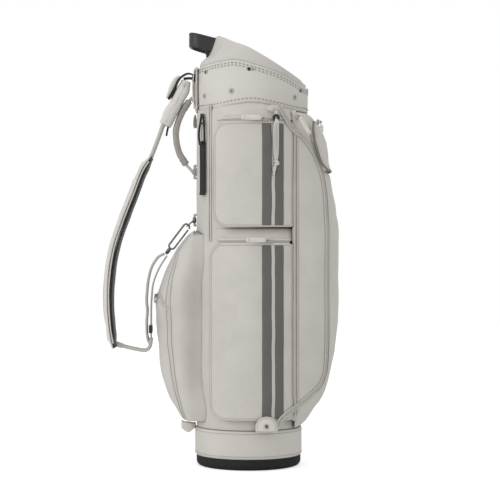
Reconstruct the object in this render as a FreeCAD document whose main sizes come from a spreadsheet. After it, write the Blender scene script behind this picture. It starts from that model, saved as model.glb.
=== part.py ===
"""Golf staff bag. Millimetres, +Z up, origin at the centre of the base where it meets the floor.
-X is the spine with the strap and ball pocket, +X the garment pocket, -Y and +Y the two sides."""

import FreeCAD, Part
import math
import os
import re

V = FreeCAD.Vector

# Driving dimensions: alias, value, meaning. They become the cells of the sheet.
SIZES = [
    ("gap", 0.2, "clearance between parts that are sewn, glued or pressed together"),
    ("body_radius", 108.0, "outside of the fabric tube"),
    ("body_wall", 5.0, "fabric with its foam backing"),
    ("liner_wall", 2.6, "stiff inner tube"),
    ("cup_radius", 108.0, "rubber base cup"),
    ("cup_foot_radius", 97.0, "flat of the cup that meets the floor"),
    ("cup_floor", 8.0, "thickness of the cup's floor"),
    ("cup_height", 23.0, "top of the cup"),
    ("cuff_radius", 110.0, "base cuff"),
    ("cuff_top", 80.0, "top of the base cuff"),
    ("collar_shift", 9.5, "the collar's axis is this far towards the garment pocket"),
    ("collar_base", 733.4, "bottom seam of the collar"),
    ("collar_radius", 112.5, "outside of the collar: a nine inch top"),
    ("cover_wall", 2.0, "collar cover"),
    ("ring_wall", 3.0, "collar moulding"),
    ("rim_radius", 111.6, "outside of the padded rim"),
    ("mouth_shift", 28.0, "centre of the club opening"),
    ("mouth_half_length", 76.0, "club opening along X"),
    ("mouth_half_width", 93.0, "club opening along Y"),
    ("bar_width", 8.0, "padded divider bars"),
    ("bar_depth", 34.0, "depth of the divider bars"),
    ("bar_recess", 16.0, "the bars sit this far below the rim"),
    ("sheet_wall", 1.6, "divider sheets"),
    ("front_bar_x", 53.0, "divider bar next to the garment pocket"),
    ("back_bar_x", 2.0, "divider bar next to the spine"),
    ("side_shift", 8.0, "axis that the side pockets curve about"),
    ("side_radius", 130.0, "outside of the side pockets"),
    ("side_right", 92.5, "edge of the side pockets towards the garment pocket"),
    ("side_corner", 30.0, "corner of the side pockets"),
    ("upper_left", -71.0, "spine edge of the upper side pocket"),
    ("upper_low", 492.0, "bottom of the upper side pocket"),
    ("upper_high", 701.0, "top of the upper side pocket"),
    ("lower_left", -79.0, "spine edge of the lower side pocket"),
    ("lower_low", 104.0, "bottom of the lower side pocket"),
    ("lower_high", 457.0, "top of the lower side pocket"),
    ("zip_height", 9.0, "zip tape above a side pocket"),
    ("zip_radius", 127.0, "face of a side pocket's zip"),
    ("slider_wall", 3.5, "thickness of a zip slider"),
    ("slider_length", 11.0, "length of a zip slider"),
    ("pull_pin", 1.2, "pin that a zip pull turns on"),
    ("pull_eye", 2.6, "eye of a zip pull, outside"),
    ("eye_length", 0.9, "eye of a zip pull, along its pin"),
    ("pin_lift", 3.2, "a zip pull's pin stands this far off its slider"),
    ("tube_radius", 4.8, "fabric tube on a zip pull"),
    ("tube_length", 40.0, "length of the tube on a zip pull"),
    ("stripe_wall", 1.0, "woven stripe"),
    ("garment_shift", 70.0, "centre of the garment pocket in plan"),
    ("garment_half_length", 116.0, "garment pocket along X"),
    ("garment_half_width", 102.0, "garment pocket along Y"),
    ("garment_left", 94.0, "seam between the side pockets and the garment pocket"),
    ("front_pocket_width", 150.0, "small pocket on the front"),
    ("ball_half_width", 70.0, "ball pocket along Y"),
    ("ball_radius", 82.0, "ball pocket in plan, about the hang line"),
    ("hang_x", -112.5, "vertical line that the strap and the carry handle hang from"),
    ("bar_radius", 2.4, "round bars on the hang line"),
    ("running", 0.08, "radial clearance of a loop on its bar"),
    ("cover_width", 29.0, "tubular cover at the top of the strap"),
    ("cover_thick", 26.0, "tubular cover at the top of the strap"),
    ("pad_width", 62.0, "shoulder pad"),
    ("pad_face", 13.0, "fabric side of the shoulder pad"),
    ("pad_mesh", 6.6, "mesh side of the shoulder pad"),
    ("webbing_width", 25.0, "strap webbing"),
    ("webbing_thick", 2.4, "strap webbing"),
    ("hook_wire", 2.1, "snap hook, radius of its wire"),
    ("hook_half", 6.4, "snap hook, centre line to the middle of its wire"),
    ("hook_length", 66.0, "snap hook, end to end"),
    ("grip_radius", 7.0, "padded tube of the carry handle"),
    ("handle_wall", 5.0, "thickness of the top handle's band"),
    ("handle_reach", 122.5, "top handle, from the axis of the bag"),
    ("handle_half_width", 34.0, "top handle along Y"),
    ("handle_corner", 24.0, "round corners of the top handle in plan"),
    ("hook_pin", 1.3, "pins that the towel clip and the cord's ring hang on"),
    ("loop_pin", 1.6, "pin of the lift loop"),
    ("towel_angle", 213.0, "towel clip's place around the body, degrees"),
    ("towel_radius", 113.0, "towel clip's distance from the axis"),
    ("cord_radius", 134.5, "tee cord's distance from the side pocket's axis"),
    ("tab_half", 22.0, "umbrella tab, half of its width"),
    ("tab_wall", 3.0, "thickness of the umbrella tab"),
    ("tab_lean", 16.0, "the umbrella tab's face leans back to the bag, degrees"),
    ("tip_radius", 4.5, "eyelet in the umbrella tab, for an umbrella's tip"),
    ("stud_radius", 4.5, "hood snap studs"),
    ("stay_radius", 2.5, "stays inside the bag"),
]
S = {alias: value for alias, value, meaning in SIZES}

doc = FreeCAD.newDocument("golf_staff_bag")
sheet = doc.addObject("Spreadsheet::Sheet", "Sizes")
for row, (alias, value, meaning) in enumerate(SIZES, start=1):
    sheet.set(f"A{row}", meaning)
    sheet.set(f"B{row}", str(value))
    sheet.setAlias(f"B{row}", alias)
doc.recompute()

parts = []  # finished sub-parts, in the order they are made


# ---------------------------------------------------------------- helpers

def linked(text):
    """Expression text in which every size name refers to its cell."""
    return re.sub(r"[a-z]\w+", lambda m: f"Sizes.{m.group(0)}" if m.group(0) in S else m.group(0), text)


def bind(obj, **expressions):
    for name, text in expressions.items():
        obj.setExpression(name.replace("__", ".").replace("Base.", "Placement.Base."), linked(str(text)))


def keep(obj, label):
    """Mark an object as a finished sub-part."""
    obj.Label = label
    parts.append(obj)
    return obj


def cylinder(radius, low, high, x="0", y="0"):
    obj = doc.addObject("Part::Cylinder", "cylinder")
    bind(obj, Radius=radius, Height=f"({high}) - ({low})", Base__x=x, Base__y=y, Base__z=low)
    return obj


def box(x_low, x_high, y_low, y_high, z_low, z_high):
    obj = doc.addObject("Part::Box", "box")
    bind(obj, Length=f"({x_high}) - ({x_low})", Width=f"({y_high}) - ({y_low})",
         Height=f"({z_high}) - ({z_low})", Base__x=x_low, Base__y=y_low, Base__z=z_low)
    return obj


def rod(radius, length, start, direction):
    """Cylinder from a start point along a direction."""
    obj = doc.addObject("Part::Cylinder", "rod")
    obj.Placement = FreeCAD.Placement(V(*start), FreeCAD.Rotation(V(0, 0, 1), V(*direction)))
    bind(obj, Radius=radius, Height=length)
    return obj


def hollow_rod(outer, inner, length, start, direction):
    """Short tube: a loop or an eye round a pin."""
    start, direction = V(*start), V(*direction).normalize()
    hole = rod(inner, f"{length} + 2", tuple(start - direction), tuple(direction))
    return cut(rod(outer, length, tuple(start), tuple(direction)), hole)


def torus(ring, wire, centre, axis):
    obj = doc.addObject("Part::Torus", "torus")
    obj.Placement = FreeCAD.Placement(V(*centre), FreeCAD.Rotation(V(0, 0, 1), V(*axis)))
    bind(obj, Radius1=ring, Radius2=wire)
    return obj


def cut(base, tool):
    obj = doc.addObject("Part::Cut", "cut")
    obj.Base = base
    obj.Tool = tool
    return obj


def common(*shapes):
    obj = doc.addObject("Part::MultiCommon", "common")
    obj.Shapes = list(shapes)
    return obj


def fuse(*shapes):
    obj = doc.addObject("Part::MultiFuse", "fuse")
    obj.Shapes = list(shapes)
    return obj


def group(*shapes):
    """Separate solids that share one node."""
    obj = doc.addObject("Part::Compound", "group")
    obj.Links = list(shapes)
    return obj


def tube(outer, inner, low, high, x="0"):
    return cut(cylinder(outer, low, high, x), cylinder(inner, f"{low} - 1", f"{high} + 1", x))


def prism(plane, length, draw):
    """Body with one sketch, padded to both sides of an origin plane of its own."""
    body = doc.addObject("PartDesign::Body", "prism")
    sketch = body.newObject("Sketcher::SketchObject", "outline")
    origin_plane = [f for f in body.Origin.OriginFeatures if f.Role == plane][0]
    sketch.AttachmentSupport = [(origin_plane, "")]
    sketch.MapMode = "FlatFace"
    draw(sketch)
    pad = body.newObject("PartDesign::Pad", "pad")
    pad.Profile = sketch
    pad.SideType = "Symmetric"
    bind(pad, Length=length)
    return body


def add_lines(sketch, points):
    for a, b in zip(points, points[1:]):
        sketch.addGeometry(Part.LineSegment(V(*a, 0), V(*b, 0)), False)


def add_curve(sketch, points):
    curve = Part.BSplineCurve()
    curve.interpolate([V(*p, 0) for p in points])
    sketch.addGeometry(curve, False)


def outline(lines, curve, width):
    """Side outline: a smooth curve, closed by straight lines from its end back to its start."""
    def draw(sketch):
        add_curve(sketch, curve)
        add_lines(sketch, [curve[-1]] + lines + [curve[0]])
    return prism("XZ_Plane", width, draw)


def polygon(points, width, plane="XZ_Plane"):
    return prism(plane, width, lambda sketch: add_lines(sketch, points + points[:1]))


def rounded_panel(left, right, low, high, corner, width):
    """Panel in the XZ plane with round corners on its left side."""
    def draw(sketch):
        add_lines(sketch, [(left + corner, low), (right, low), (right, high), (left + corner, high)])
        add_lines(sketch, [(left, high - corner), (left, low + corner)])
        normal = V(0, 0, 1)
        upper = Part.Circle(V(left + corner, high - corner, 0), normal, corner)
        lower = Part.Circle(V(left + corner, low + corner, 0), normal, corner)
        sketch.addGeometry(Part.ArcOfCircle(upper, math.pi / 2, math.pi), False)
        sketch.addGeometry(Part.ArcOfCircle(lower, math.pi, 3 * math.pi / 2), False)
    return prism("XZ_Plane", width, draw)


def ellipse_prism(half_length, half_width, low, high, x):
    obj = doc.addObject("Part::Feature", "ellipse")
    long_way = half_width > half_length
    big, small = max(half_length, half_width), min(half_length, half_width)
    edge = Part.Ellipse(V(0, 0, 0), big, small).toShape()
    solid = Part.Face(Part.Wire(edge)).extrude(V(0, 0, high - low))
    if long_way:
        solid.rotate(V(0, 0, 0), V(0, 0, 1), 90)
    obj.Shape = solid
    obj.Placement = FreeCAD.Placement(V(x, 0, low), FreeCAD.Rotation())
    return obj


def ribbon(points, thickness, width, offset=0.0):
    """Strap of constant thickness along a smooth centre line in the XZ plane."""
    centre = Part.BSplineCurve()
    centre.interpolate([V(*p, 0) for p in points])

    def side(distance):
        found = []
        for p in points:
            t = centre.parameter(V(*p, 0))
            tangent = centre.tangent(t)[0]
            normal = V(tangent.y, -tangent.x, 0).normalize()
            spot = V(*p, 0) + normal * distance
            found.append((spot.x, spot.y))
        return found

    near, far = side(offset - thickness / 2), side(offset + thickness / 2)

    def draw(sketch):
        add_curve(sketch, near)
        add_lines(sketch, [near[-1], far[-1]])
        add_curve(sketch, far)
        add_lines(sketch, [far[0], near[0]])
    return prism("XZ_Plane", width, draw)


def cord(points, radius):
    """Round cord along a smooth line."""
    path = doc.addObject("Part::Feature", "path")
    curve = Part.BSplineCurve()
    curve.interpolate([V(*p) for p in points])
    path.Shape = Part.Wire(curve.toShape())
    start = curve.tangent(curve.FirstParameter)[0]
    section = doc.addObject("Part::Circle", "section")
    section.Placement = FreeCAD.Placement(V(*points[0]), FreeCAD.Rotation(V(0, 0, 1), start))
    bind(section, Radius=radius)
    sweep = doc.addObject("Part::Sweep", "cord")
    sweep.Sections = [section]
    sweep.Spine = (path, ["Edge1"])
    sweep.Solid = True
    sweep.Frenet = False
    return sweep


def mirror(obj):
    """The far side's copy of a near side shape."""
    copy = doc.addObject("Part::Mirroring", "mirror")
    copy.Source = obj
    copy.Normal = V(0, 1, 0)
    copy.Base = V(0, 0, 0)
    return copy


def around(x_centre, radius, angle, z):
    """Point at an angle about a vertical axis at (x_centre, 0)."""
    turn = math.radians(angle)
    return (x_centre + radius * math.cos(turn), radius * math.sin(turn), z)


# ---------------------------------------------------------------- base and body

def base_parts():
    cup_arc = 12.0

    def draw_cup(sketch):
        top, floor = S["cup_height"], S["cup_floor"]
        outer, foot = S["cup_radius"], S["cup_foot_radius"]
        inner = S["body_radius"] - S["body_wall"] + S["gap"]
        add_lines(sketch, [(0, 0), (foot, 0)])
        add_curve(sketch, [(foot, 0), (foot + 0.72 * (outer - foot), 0.28 * cup_arc), (outer, cup_arc)])
        add_lines(sketch, [(outer, cup_arc), (outer, top), (inner, top), (inner, floor), (0, floor), (0, 0)])
    body = doc.addObject("PartDesign::Body", "base_cup")
    sketch = body.newObject("Sketcher::SketchObject", "cup_section")
    plane = [f for f in body.Origin.OriginFeatures if f.Role == "XZ_Plane"][0]
    sketch.AttachmentSupport = [(plane, "")]
    sketch.MapMode = "FlatFace"
    draw_cup(sketch)
    turn = body.newObject("PartDesign::Revolution", "cup_turn")
    turn.Profile = sketch
    turn.ReferenceAxis = (sketch, ["V_Axis"])
    turn.Angle = 360
    keep(body, "base_cup")
    shell_inner = "body_radius - body_wall"
    keep(tube("cuff_radius", f"{shell_inner} + gap", "cup_height + gap", "cuff_top"), "base_cuff")
    liner_outer = f"{shell_inner} - gap"
    liner_inner = f"{liner_outer} - liner_wall"
    keep(cylinder(f"{liner_inner} - 4 * gap", "cup_floor + gap", "cup_floor + 5"), "floor_pad")
    keep(tube(liner_outer, liner_inner, "cup_floor + gap", "collar_base - gap"), "inner_tube")
    keep(tube("body_radius", shell_inner, "cuff_top + gap", "collar_base - gap"), "body_shell")
    stays = [cylinder("stay_radius", "cup_floor + 6", "collar_base - 4", x, y)
             for x, y in (("-90", "-30"), ("-90", "30"), ("92", "-24"), ("92", "24"))]
    keep(group(*stays), "stays")


# ---------------------------------------------------------------- collar, rim and divider

# Side outlines, as (x, z): the seam between collar and rim, and the sloping top of the rim.
SEAM = [(-110, 822), (-84, 823), (-58, 826), (-28, 828), (4, 820.5), (30, 813), (53, 806), (80, 794),
        (106, 781.5), (128, 776)]
RIM_TOP = [(-60, 885), (-30, 867), (-3, 855.5), (25, 839.5), (53, 823), (76, 809.5), (95, 799), (111, 789)]


def raised(points, height):
    return [(x, z + height) for x, z in points]


def collar_parts():
    span = "2 * collar_radius + 20"
    below_seam = outline([(128, 700), (-110, 700)], SEAM, span)
    cover = tube("collar_radius", "collar_radius - cover_wall", "collar_base", "850", "collar_shift")
    keep(common(cover, below_seam), "collar_cover")
    ring_outer = "collar_radius - cover_wall - gap"
    ring = tube(ring_outer, f"{ring_outer} - ring_wall", "collar_base", "850", "collar_shift")
    keep(common(ring, below_seam), "collar_ring")

    def draw_rim(sketch):
        seam = raised(SEAM, S["gap"])
        add_curve(sketch, seam)
        add_lines(sketch, [seam[-1], (122, 780), (115, 783), RIM_TOP[-1]])
        add_curve(sketch, RIM_TOP[::-1])
        add_lines(sketch, [RIM_TOP[0], (-78, 846), (-84, 840), (-110, 829), seam[0]])
    side_view = prism("XZ_Plane", span, draw_rim)
    block = common(cylinder("rim_radius", "750", "900", "collar_shift"), side_view)
    mouth = ellipse_prism(S["mouth_half_length"], S["mouth_half_width"], 700, 950, S["mouth_shift"])
    keep(cut(block, mouth), "top_rim")

    # Divider bars follow the slope of the opening.
    slope = raised(RIM_TOP, -S["bar_recess"])
    lower = raised(RIM_TOP, -S["bar_recess"] - S["bar_depth"])
    slab = polygon([(-60, slope[0][1])] + slope[1:] + [(111, lower[-1][1])] + lower[::-1][1:], span)
    inside = ellipse_prism(S["mouth_half_length"] - S["gap"], S["mouth_half_width"] - S["gap"],
                           720, 900, S["mouth_shift"])
    half = "bar_width / 2"
    bars = [box("-80", "120", f"-{half}", half, "700", "900")]
    for x in ("back_bar_x", "front_bar_x"):
        bars.append(box(f"{x} - {half}", f"{x} + {half}", "-110", "110", "700", "900"))
    keep(common(fuse(*bars), slab, inside), "divider_grid")

    # Divider sheets hang below the bars, down to the floor pad.
    sheet_half = "sheet_wall / 2"
    low = "cup_floor + 6"
    sheet_low = lower[-1][1] - 4
    reach = cylinder("body_radius - body_wall - gap - liner_wall - gap", "0", "900")
    sheets = []
    for x, top in (("back_bar_x", 798), ("front_bar_x", 768)):
        sheet = box(f"{x} - {sheet_half}", f"{x} + {sheet_half}", "-110", "110", low, top)
        sheets.append(common(reach, sheet))
    spans = (("-96", "back_bar_x - 1"), ("back_bar_x + 1", "front_bar_x - 1"), ("front_bar_x + 1", "100"))
    for left, right in spans:
        sheets.append(common(reach, box(left, right, f"-{sheet_half}", sheet_half, low, sheet_low)))
    keep(group(*sheets), "divider_sheets")


def collar_fittings():
    radius = S["collar_radius"] + 0.1
    places = [(-92, 763), (-36, 763), (95, 758)]
    studs, eyelets = [], []
    for side in (-1, 1):
        for x, z in places:
            offset = x - S["collar_shift"]
            y = side * math.sqrt(radius ** 2 - offset ** 2)
            start = (x, y, z)
            outward = (offset, y, 0)
            studs.append(rod("stud_radius", "2.4", start, outward))
        for x, z in ((-86, 807), (3, 806), (106, 770)):
            offset = x - S["collar_shift"]
            y = side * math.sqrt(radius ** 2 - offset ** 2)
            start = (x, y, z)
            outward = (offset, y, 0)
            eyelets.append(hollow_rod("stud_radius - 0.5", "stud_radius - 2.5", "1.4", start, outward))
    keep(group(*studs), "hood_studs")
    keep(group(*eyelets), "rim_eyelets")


def top_handle_parts():
    reach, half = S["handle_reach"], S["handle_half_width"]
    wall, corner = S["handle_wall"], S["handle_corner"]

    def draw(sketch):
        normal = V(0, 0, 1)
        for inset in (0, wall):
            r = corner - inset
            x, y = -reach + inset, half - inset
            add_lines(sketch, [(-50, y), (x + r, y)])
            add_lines(sketch, [(x, y - r), (x, -y + r)])
            add_lines(sketch, [(x + r, -y), (-50, -y)])
            low = Part.Circle(V(x + r, -y + r, 0), normal, r)
            high = Part.Circle(V(x + r, y - r, 0), normal, r)
            sketch.addGeometry(Part.ArcOfCircle(high, math.pi / 2, math.pi), False)
            sketch.addGeometry(Part.ArcOfCircle(low, math.pi, 3 * math.pi / 2), False)
        add_lines(sketch, [(-50, half), (-50, half - wall)])
        add_lines(sketch, [(-50, -half), (-50, -half + wall)])
    loop = prism("XY_Plane", "2000", draw)
    # Seen from the side the band rises away from the bag, and ends along the rim's back wall.
    rising = [(-130, 898), (-62.7, 880.6), (-76, 852), (-130, 868.2)]
    side_view = polygon(rising, "2 * handle_half_width + 10")
    brackets = []
    for side in (-1, 1):
        y = side * (half - wall - 6)
        brackets.append(box("-86", "-82", y - 5, y + 5, "842", "856"))
    keep(group(common(loop, side_view), *brackets), "top_handle")


# ---------------------------------------------------------------- hang line: bars and tabs at the spine

def hang_bar(low, high, end, back):
    """Round bar on the hang line, held off the bag by an end block at each tip."""
    bar = cylinder("bar_radius", low, high, "hang_x")
    ends = [box("hang_x", back, "-3", "3", z - end / 2, z + end / 2) for z in (low, high)]
    return fuse(bar, *ends)


def spine_tabs():
    body_back = -S["body_radius"] - S["gap"] - 0.1
    collar_back = S["collar_shift"] - S["collar_radius"] - S["gap"] - 0.1
    keep(hang_bar(741, 817, 6, collar_back), "strap_anchor_loop")
    handle_tab, ring_tab = hang_bar(594, 620, 5, body_back), hang_bar(496, 518, 5, body_back)
    leaf = box("hang_x - 2", "hang_x + 4", "10.5", "12.5", "700", "728")
    keep(group(handle_tab, ring_tab, leaf), "spine_tabs")


def sleeve(low, high, wall=2.6):
    """Loop that turns on a bar of the hang line."""
    inner = "bar_radius + running"
    return tube(f"{inner} + {wall}", inner, low, high, "hang_x")


# ---------------------------------------------------------------- shoulder strap

def strap_parts():
    hang = S["hang_x"]
    # The sleeve sits on the bar just below its upper end block.
    tongue = box(hang - 23, hang - 4, "-10", "10", "799", "804")
    keep(fuse(sleeve("795", "811"), tongue), "strap_top_loop")

    cover_line = [(-131.5, 793), (-149.5, 757), (-171, 708)]
    flap_line = [(-146.5, 803), (-160, 786), (-169.8, 763)]
    cover, flap = ribbon(cover_line, S["cover_thick"], "cover_width"), ribbon(flap_line, 6.0, "cover_width")
    keep(group(cover, flap), "strap_cover")
    keep(ribbon([(-176.5, 704), (-186, 672), (-201, 641)], 11.0, "webbing_width"), "strap_upper_webbing")

    pad_line = [(-203, 637), (-221, 607), (-240, 557), (-259, 507), (-275.5, 458), (-285.5, 408),
                (-290.5, 345), (-287, 283), (-280, 243)]
    face, mesh = S["pad_face"], S["pad_mesh"]
    total = face + mesh + S["gap"]
    keep(ribbon(pad_line, face, "pad_width", offset=(total - face) / 2), "shoulder_pad")
    keep(ribbon(pad_line, mesh, "pad_width - 4", offset=-(total - mesh) / 2), "shoulder_pad_mesh")

    # Lower webbing: out of the pad, under, and up in two runs to the snap hook.
    thick, wide = S["webbing_thick"], "webbing_width"
    run = -202.5  # the straight run that the adjuster slides on
    bottom = ribbon([(-269, 250), (-240, 240), (-214, 236), (-205, 244), (run, 262)], thick, wide)
    inner = ribbon([(run, 261), (run, 285), (run, 320), (-200, 372), (-187, 405), (-169.8, 433.7)],
                   thick, wide)
    outer = ribbon([(-210.9, 262), (-212, 300), (-211.5, 350), (-205, 398), (-192, 424), (-175.3, 437.6)],
                   thick, wide)
    foot = ribbon([(run - 0.2, 262), (-206.8, 258), (-210.9, 263)], thick, wide)
    keep(fuse(bottom, inner, outer, foot), "strap_lower_webbing")

    # Adjuster: a frame round the straight inner run.
    frame = box(run - 5, run + 4, "-15.5", "15.5", "272", "290")
    window = box(f"{run} - webbing_thick / 2 - 0.5", f"{run} + webbing_thick / 2 + 0.5",
                 "-webbing_width / 2 - 0.5", "webbing_width / 2 + 0.5", "260", "300")
    keep(cut(frame, window), "strap_adjuster")

    hook_parts()


def hook_parts():
    """Snap hook between the strap and the ring on the spine, with its gate."""
    middle = V(-144.2, 0, 473)
    # In its own frame the hook stands along Z; it leans from the spine down to the strap.
    lean = FreeCAD.Rotation(V(0, 1, 0), 37.2)
    half, wire = S["hook_half"], S["hook_wire"]
    reach = S["hook_length"] / 2 - half - wire

    def loop(extra):
        def draw(sketch):
            r = half + extra
            add_lines(sketch, [(r, -reach), (r, reach)])
            add_lines(sketch, [(-r, reach), (-r, -reach)])
            normal = V(0, 0, 1)
            top = Part.Circle(V(0, reach, 0), normal, r)
            foot = Part.Circle(V(0, -reach, 0), normal, r)
            sketch.addGeometry(Part.ArcOfCircle(top, 0, math.pi), False)
            sketch.addGeometry(Part.ArcOfCircle(foot, math.pi, 2 * math.pi), False)
        return draw
    outer = prism("XZ_Plane", "2 * hook_wire", loop(wire))
    inner = prism("XZ_Plane", "2 * hook_wire + 2", loop(-wire))
    mouth = box("0", "hook_half + hook_wire + 1", "-5", "5", "-12", "22")
    hook = cut(cut(outer, inner), mouth)
    foot_end = -reach - half - wire
    swivel = rod("4.2", "11", (0, 0, foot_end - 9), (0, 0, 1))
    eye = box("-6", "6", "-13.5", "13.5", foot_end - 12, foot_end - 8)
    whole = fuse(hook, swivel, eye)
    place = FreeCAD.Placement(middle, lean)
    whole.Placement = place
    keep(whole, "snap_hook")

    # The gate closes the mouth; it turns on a pin at the mouth's lower end.
    gate_low = -9.6
    bar = box("hook_half - hook_wire", "hook_half + hook_wire", "-hook_wire", "hook_wire", gate_low, "21.7")
    gate = fuse(bar, rod("hook_wire", "2 * hook_wire", (half, wire, gate_low), (0, -1, 0)))
    gate.Placement = place
    keep(gate, "hook_gate")

    # Ring on the spine: a sleeve on its bar, and a ring that the hook goes through.
    ring = torus("8.2", "1.1", (-122.25, 0, 499.4), (0.671, 0, -0.742))
    keep(fuse(sleeve("501", "513", 1.6), ring), "spine_ring")


def carry_handle_parts():
    grip_line = [(-123.5, 0, 754), (-132.5, 0, 741), (-143, 0, 720), (-150.5, 0, 695), (-150, 0, 671),
                 (-144.5, 0, 648), (-137, 0, 634), (-130, 0, 623)]
    keep(cord(grip_line, "grip_radius"), "carry_grip")
    upper = cord([(-116, 0, 759.5), (-119, 0, 757.8), (-122.3, 0, 755.2)], "2.2")
    lower = cord([(-116.2, 0, 609), (-122, 0, 614.5), (-128.5, 0, 621.2)], "2")
    keep(group(fuse(sleeve("753", "766"), upper), fuse(sleeve("601", "613", 1.5), lower)), "carry_webbing")


# ---------------------------------------------------------------- side pockets, near and far

def curved_strip(left, right, low, high, inner, outer):
    """Strip on the near side that curves about the side pockets' axis."""
    return common(tube(outer, inner, low, high, "side_shift"), box(left, right, "-200", "0", low, high))


def side_pockets():
    inside = cylinder("body_radius + 1.5 * gap", "40", "770")
    shell = cut(cylinder("side_radius", "50", "760", "side_shift"), inside)
    stripes, tapes = [], []
    for level in ("upper", "lower"):
        left, low, high = S[f"{level}_left"], S[f"{level}_low"], S[f"{level}_high"]
        panel = rounded_panel(left, S["side_right"], low, high, S["side_corner"], "280")
        near_half = box("-120", "120", "-200", "-20", "60", "750")
        pocket = keep(common(shell, panel, near_half), f"{level}_pocket")
        keep(mirror(pocket), f"far_{level}_pocket")

        for a, b in (("27", "46"), ("53", "71")):
            stripes.append(curved_strip(a, b, low + 1, high - 1, "side_radius + 0.1",
                                        "side_radius + 0.1 + stripe_wall"))
        tape_low, tape_high = f"{level}_high + gap", f"{level}_high + gap + zip_height"
        tapes.append(curved_strip("-60", "86", tape_low, tape_high, "zip_radius - 6", "zip_radius"))
        zip_fittings(level, high + S["zip_height"] / 2)
    keep(group(*stripes, *[mirror(stripe) for stripe in stripes]), "side_stripes")
    keep(group(*tapes, *[mirror(tape) for tape in tapes]), "side_zips")


def zip_fittings(level, z):
    """Slider that runs along the zip, and the fabric tube pull that hangs on it."""
    slider_x = {"upper": 34.0, "lower": 43.0}[level]
    shift, face = S["side_shift"], S["zip_radius"] + 0.3
    length, wall = S["slider_length"], S["slider_wall"]
    strip = curved_strip(slider_x - length / 2, slider_x + length / 2, f"{z} - 3", f"{z} + 3",
                         face, face + wall)
    pin_x = slider_x - length / 2
    radius = face + wall + S["pin_lift"]
    angle = math.degrees(math.asin((pin_x - shift) / radius)) - 90
    pin_spot = around(shift, radius, angle, z - 3)
    outward = (math.cos(math.radians(angle)), math.sin(math.radians(angle)), 0)
    post = rod("1.6", "4.4", around(shift, face + 1, angle, z), outward)
    pin = rod("pull_pin", "6", pin_spot, (0, 0, 1))
    slider = keep(fuse(strip, post, pin), f"{level}_slider")
    keep(mirror(slider), f"far_{level}_slider")
    # The pull's eye turns on the upright pin; its tube lies back along the zip.
    eye_low = z + 1.9
    eye_spot = (pin_spot[0], pin_spot[1], eye_low)
    eye = hollow_rod("pull_eye", "pull_pin + running", "eye_length", eye_spot, (0, 0, 1))
    tangent = V(-math.sin(math.radians(angle)), math.cos(math.radians(angle)), 0) * -1
    back = V(*pin_spot) + tangent * 6 + V(*outward) * 3.0
    start = (back.x, back.y, z + 1.4)
    pull_tube = rod("tube_radius", "tube_length - 6", start, tuple(tangent))
    neck_start = V(*pin_spot) + tangent * 2.0
    neck = rod("0.4", "8", (neck_start.x, neck_start.y, eye_low + 0.45), tuple(tangent))
    pull = keep(fuse(eye, neck, pull_tube), f"{level}_pull")
    keep(mirror(pull), f"far_{level}_pull")


# ---------------------------------------------------------------- garment, front and ball pockets

GARMENT = [(100, 83), (109, 84), (122, 96), (138, 121), (149, 133), (161, 158), (174, 208), (180, 270),
           (186, 333), (186, 495), (182, 520), (176, 570), (170, 598)]
GARMENT_TOP = [(155, 606), (151, 640), (143, 690), (136, 715), (128, 724)]
FRONT = [(157.5, 600), (170, 606), (170, 630), (165, 645), (161, 672), (152, 700), (145, 709)]


def garment_parts():
    span = "300"

    def draw(sketch):
        add_lines(sketch, [(60, 83), GARMENT[0]])
        add_curve(sketch, GARMENT)
        add_lines(sketch, [GARMENT[-1], GARMENT_TOP[0]])
        add_curve(sketch, GARMENT_TOP)
        add_lines(sketch, [GARMENT_TOP[-1], (60, 724), (60, 83)])
    side_view = prism("XZ_Plane", span, draw)
    plan = ellipse_prism(S["garment_half_length"], S["garment_half_width"], 60, 740, S["garment_shift"])
    right_of_seam = box("garment_left", "200", "-120", "120", "60", "740")
    whole = common(side_view, plan, right_of_seam)
    keep(cut(whole, cylinder("body_radius + 2 * gap", "60", "740")), "garment_pocket")

    front_view = outline([(135, 709), (142.5, 706), (150, 655), (157.5, 606)], FRONT, "front_pocket_width")
    clear_of_garment = outline([(200, 606), (200, 722), (137, 722)],
                               [(x + 1.5, z) for x, z in GARMENT_TOP[::-1]], span)
    plan_front = ellipse_prism(S["garment_half_length"] - 1, S["garment_half_width"], 60, 740,
                               S["garment_shift"])
    keep(common(front_view, clear_of_garment, plan_front), "front_pocket")


def sliding_pull(name, spot, along, outward, tube_run):
    """Slider at a spot of a zip with a straight run, its pull pinned to it and lying along the zip."""
    spot, along, outward = V(*spot), V(*along).normalize(), V(*outward)
    outward = (outward - along * outward.dot(along)).normalize()
    across = outward.cross(along)
    turn = FreeCAD.Rotation(along, across, outward, "XYZ")
    body = box("-slider_length / 2", "slider_length / 2", "-3", "3", "0", "slider_wall")
    level = S["slider_wall"] + S["pin_lift"]
    post = cylinder("1.4", "1", level + 0.2)
    pin = rod("pull_pin", "8", (0, -4, level), (0, 1, 0))
    slider = fuse(body, post, pin)
    slider.Placement = FreeCAD.Placement(spot, turn)
    keep(slider, f"{name}_slider")
    eye = hollow_rod("pull_eye", "pull_pin + running", "eye_length", (0, 2.6, level), (0, 1, 0))
    neck = rod("0.4", "9", (2.0, 3.05, level), (1, 0, 0))
    grip = rod("tube_radius - 0.6", tube_run, (9, 3.05, level + 1.8), (1, 0, 0))
    pull = fuse(eye, neck, grip)
    pull.Placement = FreeCAD.Placement(spot, turn)
    keep(pull, f"{name}_pull")


def more_zips():
    # Garment zip: its curved top is straight enough for a short run beside the seam.
    sliding_pull("garment", (97, -102.2, 712), (0.50, 0.17, -0.83), (0.28, -1, 0), "34")
    # Front pocket zip: its slider runs down the pocket's near edge.
    sliding_pull("front", (139.8, -83.6, 704), (0, 0, -1), (0.545, -0.838, 0), "12")


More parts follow.
